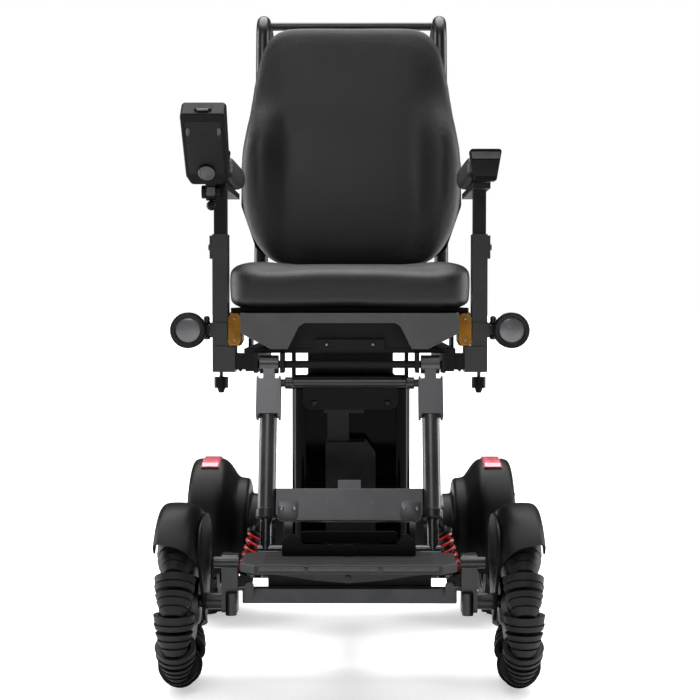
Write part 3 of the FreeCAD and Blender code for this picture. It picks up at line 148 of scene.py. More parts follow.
finish = {
    # polyurethane leather, embossed and sprayed: soft sheen, fine pebbles
    "leather": leather("embossedPuLeather", {
        "dark": "#101011", "light": "#18181A", "rough": (0.42, 0.52), "patchMm": 120, "grainMm": 1.6,
        "wrinkleMm": 9, "deepMm": 0.35,
        "fixed": {"Specular IOR Level": 0.5, "Sheen Weight": 0.03, "Sheen Roughness": 0.4}}),
    # steel tube with satin powder coat: slight orange peel
    "powder": grained("satinPowderCoatedSteel", {
        "dark": "#101011", "light": "#171718", "rough": (0.32, 0.42), "patchMm": 60, "grainMm": 2.2,
        "deepMm": 0.12, "fixed": {"Specular IOR Level": 0.6, "Coat Weight": 0.15,
                                  "Coat Roughness": 0.25}}),
    # the leg tubes' lighter satin coat
    "tube": grained("graphiteAnodisedTube", {
        "dark": "#4C4C4F", "light": "#5C5C5E", "rough": (0.3, 0.4), "patchMm": 80, "grainMm": 1.5,
        "deepMm": 0.05, "fixed": {"Metallic": 0.75}}),
    # injection moulded ABS, spark eroded texture
    "abs": grained("texturedMouldedAbs", {
        "dark": "#09090A", "light": "#0F0F10", "rough": (0.36, 0.48), "patchMm": 90, "grainMm": 1.1,
        "deepMm": 0.12, "fixed": {"Specular IOR Level": 0.13}}),
    # lighter moulded nylon of the seat's front panel
    "nylon": grained("greyGlassFilledNylon", {
        "dark": "#3F3F40", "light": "#4B4B4C", "rough": (0.45, 0.55), "patchMm": 70, "grainMm": 1.4,
        "deepMm": 0.15, "fixed": {"Specular IOR Level": 0.45}}),
    # the footplate's darker nylon, scuffed by shoes
    "treadNylon": grained("scuffedNylonTread", {
        "dark": "#242425", "light": "#303031", "rough": (0.48, 0.6), "patchMm": 45, "grainMm": 1.4,
        "deepMm": 0.18, "fixed": {"Specular IOR Level": 0.35}}),
    # polished ABS of the battery housing
    "gloss": grained("polishedBlackAbs", {
        "dark": "#030304", "light": "#050506", "rough": (0.07, 0.12), "patchMm": 140, "grainMm": 14,
        "deepMm": 0.1, "strength": 0.15, "fixed": {"Specular IOR Level": 0.06}}),
    # moulded tyre rubber: matt, greyed by use
    "rubber": grained("mouldedTyreRubber", {
        "dark": "#101010", "light": "#1C1C1C", "rough": (0.5, 0.68), "patchMm": 35, "grainMm": 1.3,
        "deepMm": 0.25, "fixed": {"Specular IOR Level": 0.36}}),
    # drawn steel with bright plating
    "chrome": brushed("brightPlatedSteel", {
        "dark": "#4A4B4D", "light": "#5E5F61", "rough": (0.2, 0.28), "patchMm": 50, "grainMm": 0.8,
        "deepMm": 0.02, "fixed": {"Metallic": 1.0}}, (1, 1, 0.04)),
    # extruded aluminium, bead blasted
    "aluminium": grained("blastedAluminium", {
        "dark": "#3E3F41", "light": "#4E4F51", "rough": (0.34, 0.44), "patchMm": 45, "grainMm": 0.9,
        "deepMm": 0.05, "fixed": {"Metallic": 0.9}}),
    # dark anodised aluminium castings
    "cast": grained("darkAnodisedCasting", {
        "dark": "#1D1D1F", "light": "#29292B", "rough": (0.3, 0.42), "patchMm": 40, "grainMm": 1.2,
        "deepMm": 0.1, "fixed": {"Metallic": 0.6}}),
    # bronze anodised aluminium, milled: warm with bright edges
    "bronze": brushed("bronzeAnodisedAluminium", {
        "dark": "#7A5523", "light": "#A87430", "rough": (0.24, 0.34), "patchMm": 30, "grainMm": 0.7,
        "deepMm": 0.03, "fixed": {"Metallic": 1.0}}, (1, 1, 0.06)),
    # powder coated spring wire
    "spring": grained("redPowderCoatedWire", {
        "dark": "#B00A0C", "light": "#D41214", "rough": (0.22, 0.3), "patchMm": 20, "grainMm": 1.6,
        "deepMm": 0.05, "fixed": {"Coat Weight": 0.4, "Coat Roughness": 0.1}}),
    # tinted acrylic of the tail lamps, with prisms moulded behind it
    "lens": grained("tintedAcrylicLens", {
        "dark": "#D8505E", "light": "#E98490", "rough": (0.1, 0.16), "patchMm": 12, "grainMm": 3,
        "deepMm": 0.2, "fixed": {"Coat Weight": 0.6, "Coat Roughness": 0.04, "IOR": 1.49}}),
    # clear lamp front over a fluted reflector, seen as a pale grey disc
    "lampGlass": brushed("flutedLampFront", {
        "dark": "#5C5C5E", "light": "#707072", "rough": (0.25, 0.32), "patchMm": 26, "grainMm": 2.4,
        "deepMm": 0.3, "fixed": {"Metallic": 0.2, "Coat Weight": 0.5, "Coat Roughness": 0.08}},
        (1, 1, 0.05)),
    # dark glass over a display
    "screen": grained("smokedDisplayGlass", {
        "dark": "#050607", "light": "#090B0D", "rough": (0.04, 0.07), "patchMm": 60, "grainMm": 20,
        "deepMm": 0.02, "strength": 0.1, "fixed": {"Coat Weight": 0.6, "Coat Roughness": 0.03}}),
    # soft touch paint over ABS, very matt
    "softTouch": grained("softTouchPaint", {
        "dark": "#0E0E0F", "light": "#141415", "rough": (0.5, 0.6), "patchMm": 40, "grainMm": 0.9,
        "deepMm": 0.06, "fixed": {"Specular IOR Level": 0.22}}),
    # mid grey moulded caps
    "capGrey": grained("greyMouldedCap", {
        "dark": "#3E3E3F", "light": "#4C4C4D", "rough": (0.38, 0.48), "patchMm": 18, "grainMm": 0.8,
        "deepMm": 0.06, "fixed": {"Specular IOR Level": 0.5}}),
    # the footplate's front edge strip, painted lighter grey as a highlight where light from above falls on it
    "edgeHighlightGrey": grained("nylonEdgePaintedHighlight", {
        "dark": "#343435", "light": "#4A4A4B", "rough": (0.4, 0.55), "patchMm": 16, "grainMm": 1.2,
        "deepMm": 0.12, "fixed": {"Specular IOR Level": 0.5}}),
    # closed cell foam, dead black
    "blackFoam": grained("closedCellFoam", {
        "dark": "#050505", "light": "#090909", "rough": (0.85, 0.95), "patchMm": 30, "grainMm": 1.4,
        "deepMm": 0.2, "fixed": {"Specular IOR Level": 0.12}}),
    # steel frame parts deep under the seat, with a dull textured powder coat
    "powderDark": grained("texturedPowderCoat", {
        "dark": "#09090A", "light": "#0E0E0F", "rough": (0.5, 0.62), "patchMm": 50, "grainMm": 1.8,
        "deepMm": 0.15, "fixed": {"Specular IOR Level": 0.25}}),
    # bright zinc plated screws
    "screwLight": grained("brightZincScrew", {
        "dark": "#7C7D7F", "light": "#97989A", "rough": (0.25, 0.36), "patchMm": 6, "grainMm": 0.6,
        "deepMm": 0.03, "fixed": {"Metallic": 1.0}}),
    # blackened socket screws
    "zinc": grained("blackenedSocketScrew", {
        "dark": "#2A2A2B", "light": "#3D3D3F", "rough": (0.28, 0.4), "patchMm": 6, "grainMm": 0.6,
        "deepMm": 0.03, "fixed": {"Metallic": 0.85}}),
}

coats = {
    "powderDark": ("chassis_frame", "seat_frame", "armrest_post_left", "armrest_post_right"),
    "powder": ("suspension_arm_left", "suspension_arm_right",
               "armrest_sleeve_left", "armrest_sleeve_right",
               "backrest_frame", "headlamp_clamps"),
    "tube": ("leg_rest_frame", "leg_rest_panel"),
    "abs": ("front_fender_left", "front_fender_right", "drive_cover_left", "drive_cover_right",
            "brake_release_left", "brake_release_right", "armrest_knob_left", "armrest_knob_right",
            "armrest_cap_left", "armrest_cap_right", "headlamp_left", "headlamp_right", "controller_case",
            "controller_bracket", "back_shell", "heel_guard", "power_button", "speed_rocker",
            "battery_pack"),
    "nylon": ("seat_pan",),
    "treadNylon": ("footplate",),
    "gloss": ("power_housing",),
    "rubber": ("front_rollers_left", "front_rollers_right", "rear_tyre_left", "rear_tyre_right",
               "joystick"),
    "chrome": ("footrest_slider", "shock_rod_left", "shock_rod_right"),
    "aluminium": ("front_axle_beam", "front_hub_left", "front_hub_right", "rear_rim_left",
                  "rear_rim_right", "joystick_gimbal"),
    "cast": ("lift_outer_column", "lift_inner_column", "drive_motors", "shock_bodies"),
    "bronze": ("side_collars",),
    "spring": ("shock_spring_left", "shock_spring_right"),
    "lens": ("tail_lamps",),
}
for coat, names in coats.items():
    for name in names:
        nodes[name].data.materials.clear()
        nodes[name].data.materials.append(finish[coat])
print("materials:", len(finish))


def meshPiece(name, points, faces, material, body):
    mesh = bpy.data.meshes.new(name)
    mesh.from_pydata([tuple(p) for p in points], [], faces)
    piece = bpy.data.objects.new(name, mesh)
    scene.collection.objects.link(piece)
    mesh.materials.append(finish[material])
    shaped = bmesh.new()
    shaped.from_mesh(mesh)
    bmesh.ops.remove_doubles(shaped, verts=shaped.verts, dist=1e-6)
    bmesh.ops.recalc_face_normals(shaped, faces=shaped.faces)
    shaped.to_mesh(mesh)
    shaped.free()
    mesh.shade_smooth()
    mesh.set_sharp_from_angle(angle=math.radians(32))
    if body:
        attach(piece, body)
    return piece


def bandFaces(rows, count, start=0):
    # quads between rings of points that lie one after another
    faces = []
    for row in range(rows - 1):
        near, far = start + row * count, start + (row + 1) * count
        for step in range(count):
            following = (step + 1) % count
            faces.append((near + step, near + following, far + following, far + step))
    return faces


def lathe(profile, steps=48):
    # points and faces of a profile of (radius, height) turned about Z; radius 0 closes it
    points = []
    for radius, height in profile:
        for step in range(steps):
            angle = 2 * math.pi * step / steps
            points.append(Vector((radius * math.cos(angle), radius * math.sin(angle), height)))
    return points, bandFaces(len(profile), steps)


def faceAlong(direction, origin):
    # a matrix that turns +Z to a direction and moves to a point
    return Matrix.Translation(origin) @ Vector(direction).to_track_quat("Z", "Y").to_matrix().to_4x4()


def turnedPiece(name, profile, direction, origin, material, body, steps=48):
    points, faces = lathe(profile, steps)
    place = faceAlong(direction, origin)
    return meshPiece(name, [place @ p for p in points], faces, material, body)


def smoothLine(controls, count):
    # evenly spread points on a Catmull-Rom curve through the controls
    line = []
    last = len(controls) - 1
    for index in range(count):
        along = index / (count - 1) * last
        start = min(int(along), last - 1)
        t = along - start
        a, b, c, d = (controls[max(0, min(last, start + k))] for k in (-1, 0, 1, 2))
        line.append(tuple(0.5 * (2 * q + (r - p) * t + (2 * p - 5 * q + 4 * r - s) * t * t
                                 + (3 * q - p - 3 * r + s) * t ** 3)
                          for p, q, r, s in zip(a, b, c, d)))
    return line


def nodeTree(name, inputs):
    tree = bpy.data.node_groups.new(name, "GeometryNodeTree")
    tree.interface.new_socket("Geometry", in_out="INPUT", socket_type="NodeSocketGeometry")
    for label, kind in inputs:
        tree.interface.new_socket(label, in_out="INPUT", socket_type=kind)
    tree.interface.new_socket("Geometry", in_out="OUTPUT", socket_type="NodeSocketGeometry")
    return tree, tree.nodes.new("NodeGroupInput"), tree.nodes.new("NodeGroupOutput")


def finishTree(tree, given, out, instances):
    realized = addNode(tree, "GeometryNodeRealizeInstances", links={"Geometry": instances})
    painted = addNode(tree, "GeometryNodeSetMaterial", links={
        "Geometry": realized.outputs["Geometry"], "Material": given.outputs["Material"]})
    tree.links.new(painted.outputs["Geometry"], out.inputs["Geometry"])


def scatterTree():
    # a part on every point, its Z along the point's facing
    tree, given, out = nodeTree("partsOnPoints", [("Part", "NodeSocketObject"),
                                                  ("Size", "NodeSocketFloat"),
                                                  ("Material", "NodeSocketMaterial")])
    part = addNode(tree, "GeometryNodeObjectInfo", links={"Object": given.outputs["Part"]})
    facing = addNode(tree, "GeometryNodeInputNamedAttribute", {"data_type": "FLOAT_VECTOR"},
                     {"Name": "facing"})
    turn = addNode(tree, "FunctionNodeAlignRotationToVector", {"axis": "Z"},
                   links={"Vector": facing.outputs["Attribute"]})
    placed = addNode(tree, "GeometryNodeInstanceOnPoints", links={
        "Points": given.outputs["Geometry"], "Instance": part.outputs["Geometry"],
        "Rotation": turn.outputs["Rotation"], "Scale": given.outputs["Size"]})
    finishTree(tree, given, out, placed.outputs["Instances"])
    return tree


def ringTree():
    # parts spaced round a circle about X, each with its Z pointing away from the centre
    tree, given, out = nodeTree("partsOnRing", [("Part", "NodeSocketObject"), ("Count", "NodeSocketInt"),
                                                ("Radius", "NodeSocketFloat"),
                                                ("Centre", "NodeSocketVector"),
                                                ("Turn", "NodeSocketFloat"),
                                                ("Material", "NodeSocketMaterial")])
    part = addNode(tree, "GeometryNodeObjectInfo", links={"Object": given.outputs["Part"]})
    ring = addNode(tree, "GeometryNodeMeshCircle", links={"Vertices": given.outputs["Count"],
                                                          "Radius": given.outputs["Radius"]})
    spot = addNode(tree, "GeometryNodeInputPosition")
    turn = addNode(tree, "FunctionNodeAlignRotationToVector", {"axis": "Z"},
                   links={"Vector": spot.outputs["Position"]})
    placed = addNode(tree, "GeometryNodeInstanceOnPoints", links={
        "Points": ring.outputs["Mesh"], "Instance": part.outputs["Geometry"],
        "Rotation": turn.outputs["Rotation"]})
    lean = addNode(tree, "ShaderNodeCombineXYZ", links={"X": given.outputs["Turn"]})
    upright = addNode(tree, "GeometryNodeTransform", values={"Rotation": (0, math.pi / 2, 0)},
                      links={"Geometry": placed.outputs["Instances"]})
    leant = addNode(tree, "GeometryNodeTransform", links={
        "Geometry": upright.outputs["Geometry"], "Rotation": lean.outputs["Vector"],
        "Translation": given.outputs["Centre"]})
    finishTree(tree, given, out, leant.outputs["Geometry"])
    return tree


def runTree(name, points, facings, tree, inputs, body):
    # builds the points, runs the tree on them and keeps the result as a plain mesh
    mesh = bpy.data.meshes.new(name + "Points")
    mesh.from_pydata([tuple(p) for p in points], [], [])
    mesh.attributes.new("facing", "FLOAT_VECTOR", "POINT")
    for item, facing in zip(mesh.attributes["facing"].data, facings):
        item.vector = facing
    seed = bpy.data.objects.new(name + "Seed", mesh)
    scene.collection.objects.link(seed)
    modifier = seed.modifiers.new("build", "NODES")
    modifier.node_group = tree
    sockets = {item.name: item.identifier for item in tree.interface.items_tree if item.in_out == "INPUT"}
    for label, value in inputs.items():
        modifier[sockets[label]] = value
    bpy.context.view_layer.update()
    ready = seed.evaluated_get(bpy.context.evaluated_depsgraph_get())
    plain = bpy.data.meshes.new_from_object(ready)
    seed.modifiers.clear()
    bpy.data.objects.remove(seed)
    piece = bpy.data.objects.new(name, plain)
    scene.collection.objects.link(piece)
    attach(piece, body)
    return piece


parts = bpy.data.collections.new("partLibrary")  # unlinked, so the masters never show


def master(name, points, faces, material):
    piece = meshPiece(name, points, faces, material, None)
    scene.collection.objects.unlink(piece)
    parts.objects.link(piece)
    return piece


def socketHead():
    # a button screw head, 2 units across, with a hexagonal socket
    outer, faces = lathe([(0.0, 0.62), (0.42, 0.6), (0.5, 0.62)], 6)
    rings = [(0.5, 0.62), (0.5, 0.2), (0.0, 0.2)]
    socket, socketFaces = lathe(rings, 6)
    dome, domeFaces = lathe([(0.52, 0.62), (0.8, 0.5), (0.96, 0.24), (1.0, 0.0), (0.0, 0.0)], 24)
    rim, rimFaces = [], []
    for step in range(24):
        angle = 2 * math.pi * step / 24
        rim.append(Vector((0.52 * math.cos(angle), 0.52 * math.sin(angle), 0.62)))
    for step in range(6):
        angle = 2 * math.pi * step / 6
        rim.append(Vector((0.5 * math.cos(angle), 0.5 * math.sin(angle), 0.62)))
    for step in range(24):
        inner = 24 + ((step + 2) // 4) % 6
        following = 24 + ((step + 3) // 4) % 6
        face = (step, (step + 1) % 24, following, inner) if inner != following else (
            step, (step + 1) % 24, inner)
        rimFaces.append(face)
    points = socket + dome + rim
    faces = list(socketFaces)
    faces += [tuple(i + len(socket) for i in f) for f in domeFaces]
    faces += [tuple(i + len(socket) + len(dome) for i in f) for f in rimFaces]
    return master("screwMaster", points, faces, "zinc")


screwMaster = socketHead()
onPoints = scatterTree()
onRing = ringTree()


def screws(name, radiusMm, places, body, material="zinc"):
    # places: (point, direction the head faces)
    return runTree(name, [p for p, _ in places], [f for _, f in places], onPoints,
                   {"Part": screwMaster, "Size": radiusMm / 1000, "Material": finish[material]},
                   body)


def roundedRing(halfX, halfY, corner, steps):
    # a rectangle's outline about the origin, with round corners
    ring = []
    for turn, (signX, signY) in enumerate(((1, 1), (-1, 1), (-1, -1), (1, -1))):
        for step in range(steps + 1):
            angle = math.pi / 2 * (turn + step / steps)
            ring.append((signX * (halfX - corner) + corner * math.cos(angle),
                         signY * (halfY - corner) + corner * math.sin(angle)))
    return ring


def outlineRing(controls, count):
    # closed outline from half widths: controls are (half width, height) from top to bottom
    right = smoothLine(controls, count)
    return right + [(-x, z) for x, z in reversed(right)]


def pillow(name, ring, centre, depthAt, rounding, rows=14):
    # a closed pad over an outline: depthAt(x, z) gives the front and back faces' distances
    points, faces = [], []
    count = len(ring)
    for side in (0, 1):
        for row in range(rows):
            share = math.sin((row + 1) / rows * math.pi / 2)  # rows crowd at the edge
            power = rounding[side] if isinstance(rounding, tuple) else rounding
            swell = (1 - share ** power) ** (1 / power)
            for x, z in ring:
                px = centre[0] + (x - centre[0]) * share
                pz = centre[1] + (z - centre[1]) * share
                front, back = depthAt(px, pz)
                middle = (front + back) / 2
                depth = middle + ((front if side == 0 else back) - middle) * swell
                points.append(Vector((px, depth, pz)))
        hub = len(points)
        front, back = depthAt(*centre)
        points.append(Vector((centre[0], front if side == 0 else back, centre[1])))
        start = side * (rows * count + 1)
        faces += bandFaces(rows, count, start)
        for step in range(count):
            faces.append((hub, start + (step + 1) % count, start + step))
    return points, faces


padFill = {"evenRounds": 60, "finishRounds": 4, "stiffness": 40, "bend": 8, "frames": 20}


def settle(mesh, before, swollen, capMm):
    # the cloth's movement, capped, spread evenly over the foam and fitted back to the pad's cut size
    drift = bmesh.new()
    drift.from_mesh(mesh)
    for vertex, start, end in zip(drift.verts, before, swollen.vertices):
        moved = end.co - start
        vertex.co = moved * min(1, capMm / 1000 / max(moved.length, 1e-9))
    for _ in range(padFill["evenRounds"]):
        bmesh.ops.smooth_vert(drift, verts=drift.verts, factor=0.5,
                              use_axis_x=True, use_axis_y=True, use_axis_z=True)
    places = [start + vertex.co for start, vertex in zip(before, drift.verts)]
    drift.free()
    for axis in range(3):
        low, high = (pick(p[axis] for p in before) for pick in (min, max))
        newLow, newHigh = (pick(p[axis] for p in places) for pick in (min, max))
        for point in places:
            point[axis] = low + (point[axis] - newLow) * (high - low) / (newHigh - newLow)
    for vertex, point in zip(mesh.vertices, places):
        vertex.co = point


def inflate(piece, look):
    # foam under a tight cover: cloth swells under pressure, and no point moves past the cap
    remesh = piece.modifiers.new("even", "REMESH")
    remesh.mode = "VOXEL"
    remesh.voxel_size = look["voxelMm"] / 1000
    evened = bpy.data.meshes.new_from_object(
        piece.evaluated_get(bpy.context.evaluated_depsgraph_get()))
    piece.modifiers.clear()
    old = piece.data
    piece.data = evened
    evened.materials.clear()
    evened.materials.append(old.materials[0])
    before = [v.co.copy() for v in evened.vertices]
    cloth = piece.modifiers.new("swell", "CLOTH")
    cloth.settings.use_pressure = True
    cloth.settings.uniform_pressure_force = look["pressure"]
    cloth.settings.effector_weights.gravity = 0
    cloth.settings.tension_stiffness = padFill["stiffness"]
    cloth.settings.compression_stiffness = padFill["stiffness"]
    cloth.settings.bending_stiffness = padFill["bend"]
    cloth.point_cache.frame_start = 1
    cloth.point_cache.frame_end = padFill["frames"]
    for frameNumber in range(1, padFill["frames"] + 1):
        scene.frame_set(frameNumber)
    swollen = bpy.data.meshes.new_from_object(
        piece.evaluated_get(bpy.context.evaluated_depsgraph_get()))
    piece.modifiers.clear()
    settle(evened, before, swollen, look["capMm"])
    bpy.data.meshes.remove(swollen)
    scene.frame_set(1)
    smoother = bmesh.new()
    smoother.from_mesh(evened)
    for _ in range(padFill["finishRounds"]):
        bmesh.ops.smooth_vert(smoother, verts=smoother.verts, factor=0.5,
                              use_axis_x=True, use_axis_y=True, use_axis_z=True)
    smoother.to_mesh(evened)
    smoother.free()
    evened.shade_smooth()
    rounder = piece.modifiers.new("round", "SUBSURF")
    rounder.levels = 1
    rounder.render_levels = 1


def softStep(value, low, high):
    share = max(0.0, min(1.0, (value - low) / (high - low)))
    return share * share * (3 - 2 * share)


seatLook = {"cornerMm": 44, "dishMm": 24, "crownMm": 6, "rearDropMm": 17, "frontRollMm": 6,
            "shrinkMm": 2, "voxelMm": 5, "pressure": 4, "capMm": 8}


def seatCushion():
    low, high = ends("seat_cushion")
    middle = (low + high) / 2
    half = (high - low) / 2 - Vector((1, 1, 0)) * seatLook["shrinkMm"] / 1000
    ring = roundedRing(half.x, half.y, seatLook["cornerMm"] / 1000, 8)

    def depthAt(x, y):
        across, along = x / half.x, y / half.y
        dish = seatLook["dishMm"] / 1000 * (1 - abs(across) ** 2.2) - seatLook["crownMm"] / 1000
        roll = seatLook["frontRollMm"] / 1000 * softStep(-along, 0.6, 1.0)
        drop = seatLook["rearDropMm"] / 1000 * softStep(along, 0.55, 0.85) * abs(across) ** 2.4
        return half.z - dish - roll - drop, -half.z - 0.001

    points, faces = pillow("seatPad", ring, (0, 0), depthAt, (4.6, 10), 20)
    placed = [Vector((p.x, p.z, p.y)) + middle for p in points]
    piece = meshPiece("seatCushionLeather", placed, faces, "leather", None)
    inflate(piece, seatLook)
    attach(piece, "seat")
    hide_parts("seat_cushion")


backLook = {"tiltDegrees": 8.5, "pivotMm": (440, 600), "thickMm": 54, "bolsterMm": 34, "lumbarMm": 8,
            "rearMm": -15.5, "halfMm": 203, "thinTopMm": 12, "voxelMm": 5, "pressure": 4, "capMm": 7}
backOutline = [(0.0, 529), (0.1, 529), (0.132, 524.5), (0.153, 511), (0.169, 484), (0.178, 455),
               (0.1845, 420), (0.1915, 372), (0.197, 332), (0.2015, 290), (0.203, 262), (0.2025, 220),
               (0.199, 180), (0.191, 148), (0.179, 121), (0.158, 92), (0.128, 76), (0.08, 68), (0.0, 66)]


def backPlace():
    # from the back's own upright frame, on its recline pivot, to the chair's
    behind, up = backLook["pivotMm"]
    return (Matrix.Translation((0, axleY + behind / 1000, up / 1000))
            @ Matrix.Rotation(-math.radians(backLook["tiltDegrees"]), 4, "X"))


def backCushion():
    ring = outlineRing([(x, z / 1000) for x, z in backOutline], 44)
    rear = backLook["rearMm"] / 1000
    thick = backLook["thickMm"] / 1000

    def depthAt(x, z):
        across = abs(x) * 1000 / backLook["halfMm"]
        bolster = backLook["bolsterMm"] / 1000 * softStep(across, 0.56, 0.84)
        bolster *= softStep(0.42 - z, 0.0, 0.14) * (0.55 + 0.45 * softStep(z, 0.08, 0.2))
        lumbar = backLook["lumbarMm"] / 1000 * math.exp(-((z - 0.2) / 0.09) ** 2) * (1 - across ** 2)
        thinner = backLook["thinTopMm"] / 1000 * softStep(z, 0.36, 0.54)
        return rear - thick - bolster - lumbar + thinner, rear

    points, faces = pillow("backPad", ring, (0, 0.29), depthAt, 3.4, 16)
    piece = meshPiece("backCushionLeather", points, faces, "leather", None)
    inflate(piece, backLook)
    piece.data.transform(backPlace())
    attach(piece, "backrest")
    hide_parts("back_cushion")


padLook = {"cornerShare": 0.7, "rounding": 3.2, "shrinkMm": 3, "voxelMm": 4, "pressure": 4, "capMm": 4}


def armPad(side):
    low, high = ends(f"armrest_pad_{side}")
    middle = (low + high) / 2
    half = (high - low) / 2 - Vector((1, 1, 1)) * padLook["shrinkMm"] / 1000
    ring = roundedRing(half.x, half.y, half.x * padLook["cornerShare"], 6)
    points, faces = pillow("armPad", ring, (0, 0), lambda x, y: (half.z, -half.z), padLook["rounding"])
    placed = [Vector((p.x, p.z, p.y)) + middle for p in points]
    piece = meshPiece(f"armPad{side.title()}", placed, faces, "leather", None)
    inflate(piece, padLook)
    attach(piece, f"armrest_{side}")
    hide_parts(f"armrest_pad_{side}")


boardLook = {"sideInsetMm": 7, "frontInsetMm": 12, "rearInsetMm": 10, "bottomMm": 595.5, "topMm": 603.5}
boxFaces = [(0, 3, 2, 1), (4, 5, 6, 7), (0, 1, 5, 4), (1, 2, 6, 5), (2, 3, 7, 6), (3, 0, 4, 7)]


def seatBase():
    # the thin moulded board under the cushion
    low, high = ends("seat_cushion")
    left, right = (low.x + boardLook["sideInsetMm"] / 1000, high.x - boardLook["sideInsetMm"] / 1000)
    front, rear = (low.y + boardLook["frontInsetMm"] / 1000, high.y - boardLook["rearInsetMm"] / 1000)
    points = [Vector((x, y, boardLook[level] / 1000)) for level in ("bottomMm", "topMm")
              for x, y in ((left, front), (right, front), (right, rear), (left, rear))]
    meshPiece("seatBoard", points, boxFaces, "blackFoam", "seat")


seatCushion()
seatBase()
backCushion()
for side in ("left", "right"):
    armPad(side)
print("padded pieces done")


def sectionWall(controls, wallMm, count=30):
    # a smooth open section of (x, radius) with an inner line beside it, as one closed ring of points
    outer = smoothLine(controls, count)
    inner = []
    for index, (x, r) in enumerate(outer):
        before, after = outer[max(0, index - 1)], outer[min(count - 1, index + 1)]
        run = Vector((after[0] - before[0], after[1] - before[1])).normalized()
        inner.append((x - run.y * wallMm / 1000, r + run.x * wallMm / 1000))
    return outer + inner[::-1]


def sweptShell(ring, centre, anglesAt, steps):
    # the section turned about X between two angles from upright, positive to the rear, with closed ends
    points = []
    count = len(ring)
    for step in range(steps + 1):
        for index, (x, r) in enumerate(ring):
            low, high = anglesAt(index, count)
            angle = math.radians(low + (high - low) * step / steps)
            points.append(Vector((x, centre[0] + r * math.sin(angle), centre[1] + r * math.cos(angle))))
    faces = bandFaces(steps + 1, count)
    half = count // 2
    for start in (0, steps * count):
        for index in range(half - 1):
            faces.append((start + index, start + index + 1,
                          start + count - 2 - index, start + count - 1 - index))
    return points, faces


def flipped(points, side):
    # the left side is drawn, and the right is its mirror image
    return [Vector((p.x * (1 if side == "left" else -1), p.y, p.z)) for p in points]


def joined(*solids):
    points, faces = [], []
    for solidPoints, solidFaces in solids:
        faces += [tuple(i + len(points) for i in face) for face in solidFaces]
        points += list(solidPoints)
    return points, faces


fenderLook = {"wallMm": 3, "frontDegrees": -45, "frontInnerDegrees": -55, "rearDegrees": 84, "stayMm": 5,
              "stayInnerMm": 230.5, "boreMm": 13.1}
fenderSection = [(0.3005, 0.128), (0.3005, 0.14), (0.2992, 0.1485), (0.293, 0.1548), (0.281, 0.1565),
                 (0.262, 0.1562), (0.2495, 0.1538), (0.2402, 0.1482), (0.2338, 0.139), (0.231, 0.126)]
stayOutline = [(-0.098, 0.092), (-0.086, 0.118), (-0.06, 0.132), (0.0, 0.1385), (0.055, 0.13),
               (0.095, 0.092), (0.06, 0.03), (0.024, -0.012), (0.0, -0.032), (-0.022, -0.014),
               (-0.05, 0.026), (-0.078, 0.062), (-0.098, 0.092)]


def stayPlate(centre, inner, boreRadius):
    # the leaf shaped plate that carries the fender, with a hole for the axle tube
    edge = smoothLine(stayOutline, 73)[:-1]
    half = fenderLook["stayMm"] / 2000
    points, faces = [], []
    count = len(edge)
    for outside, across in ((1, -half + 0.001), (1, half - 0.001), (0.985, half), (0, half), (0, -half),
                            (0.985, -half)):
        for y, z in edge:
            angle = math.atan2(z, y)
            px = (y * outside, z * outside) if outside else (boreRadius * math.cos(angle),
                                                            boreRadius * math.sin(angle))
            points.append(Vector((inner + across, centre[0] + px[0], centre[1] + px[1])))
    rows = len(points) // count
    for row in range(rows):
        for step in range(count):
            following = (step + 1) % count
            a, b = row * count, (row + 1) % rows * count
            faces.append((a + step, a + following, b + following, b + step))
    return points, faces


def fender(side):
    centre = (axleY, sum(corner[2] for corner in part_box(f"front_hub_{side}")) / 2)
    ring = sectionWall(fenderSection, fenderLook["wallMm"])

    def anglesAt(index, count):
        along = index / (count / 2) if index < count / 2 else (count - 1 - index) / (count / 2)
        lean = softStep(along, 0.25, 1.0)
        front = fenderLook["frontDegrees"]
        return front + (fenderLook["frontInnerDegrees"] - front) * lean, fenderLook["rearDegrees"]

    shell = sweptShell(ring, centre, anglesAt, 56)
    stay = stayPlate(centre, fenderLook["stayInnerMm"] / 1000, fenderLook["boreMm"] / 1000)
    points, faces = joined(shell, stay)
    piece = meshPiece(f"fender{side.title()}", flipped(points, side), faces, "abs", f"arm_{side}")
    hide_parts(f"front_fender_{side}")


coverLook = {"wallMm": 4, "sweepDegrees": 102, "webInnerMm": 73, "webOuterMm": 96, "webXMm": (178, 182)}
coverSection = [(0.309, 0.146), (0.309, 0.154), (0.3055, 0.161), (0.297, 0.1645), (0.284, 0.1652),
                (0.262, 0.1652), (0.249, 0.1632), (0.24, 0.1565), (0.232, 0.146), (0.225, 0.1355),
                (0.219, 0.1295), (0.211, 0.1272), (0.203, 0.1262), (0.1985, 0.122), (0.197, 0.1135),
                (0.1965, 0.103), (0.193, 0.0975), (0.186, 0.096), (0.178, 0.096)]


def driveCover(side):
    low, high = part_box(f"rear_rim_{side}")
    centre = ((low[1] + high[1]) / 2, (low[2] + high[2]) / 2)
    sweep = coverLook["sweepDegrees"]
    shell = sweptShell(sectionWall(coverSection, coverLook["wallMm"], 54), centre,
                       lambda index, count: (-sweep, sweep), 84)
    webInner, webOuter = coverLook["webInnerMm"] / 1000, coverLook["webOuterMm"] / 1000
    near, far = (x / 1000 for x in coverLook["webXMm"])
    web = sweptShell([(near, webInner), (near, webOuter), (far, webOuter), (far, webInner)], centre,
                     lambda index, count: (-sweep, sweep), 84)
    points, faces = joined(shell, web)
    piece = meshPiece(f"driveCover{side.title()}", flipped(points, side), faces, "abs", "chassis")
    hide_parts(f"drive_cover_{side}")


for side in ("left", "right"):
    fender(side)
    driveCover(side)
print("wheel shells done")


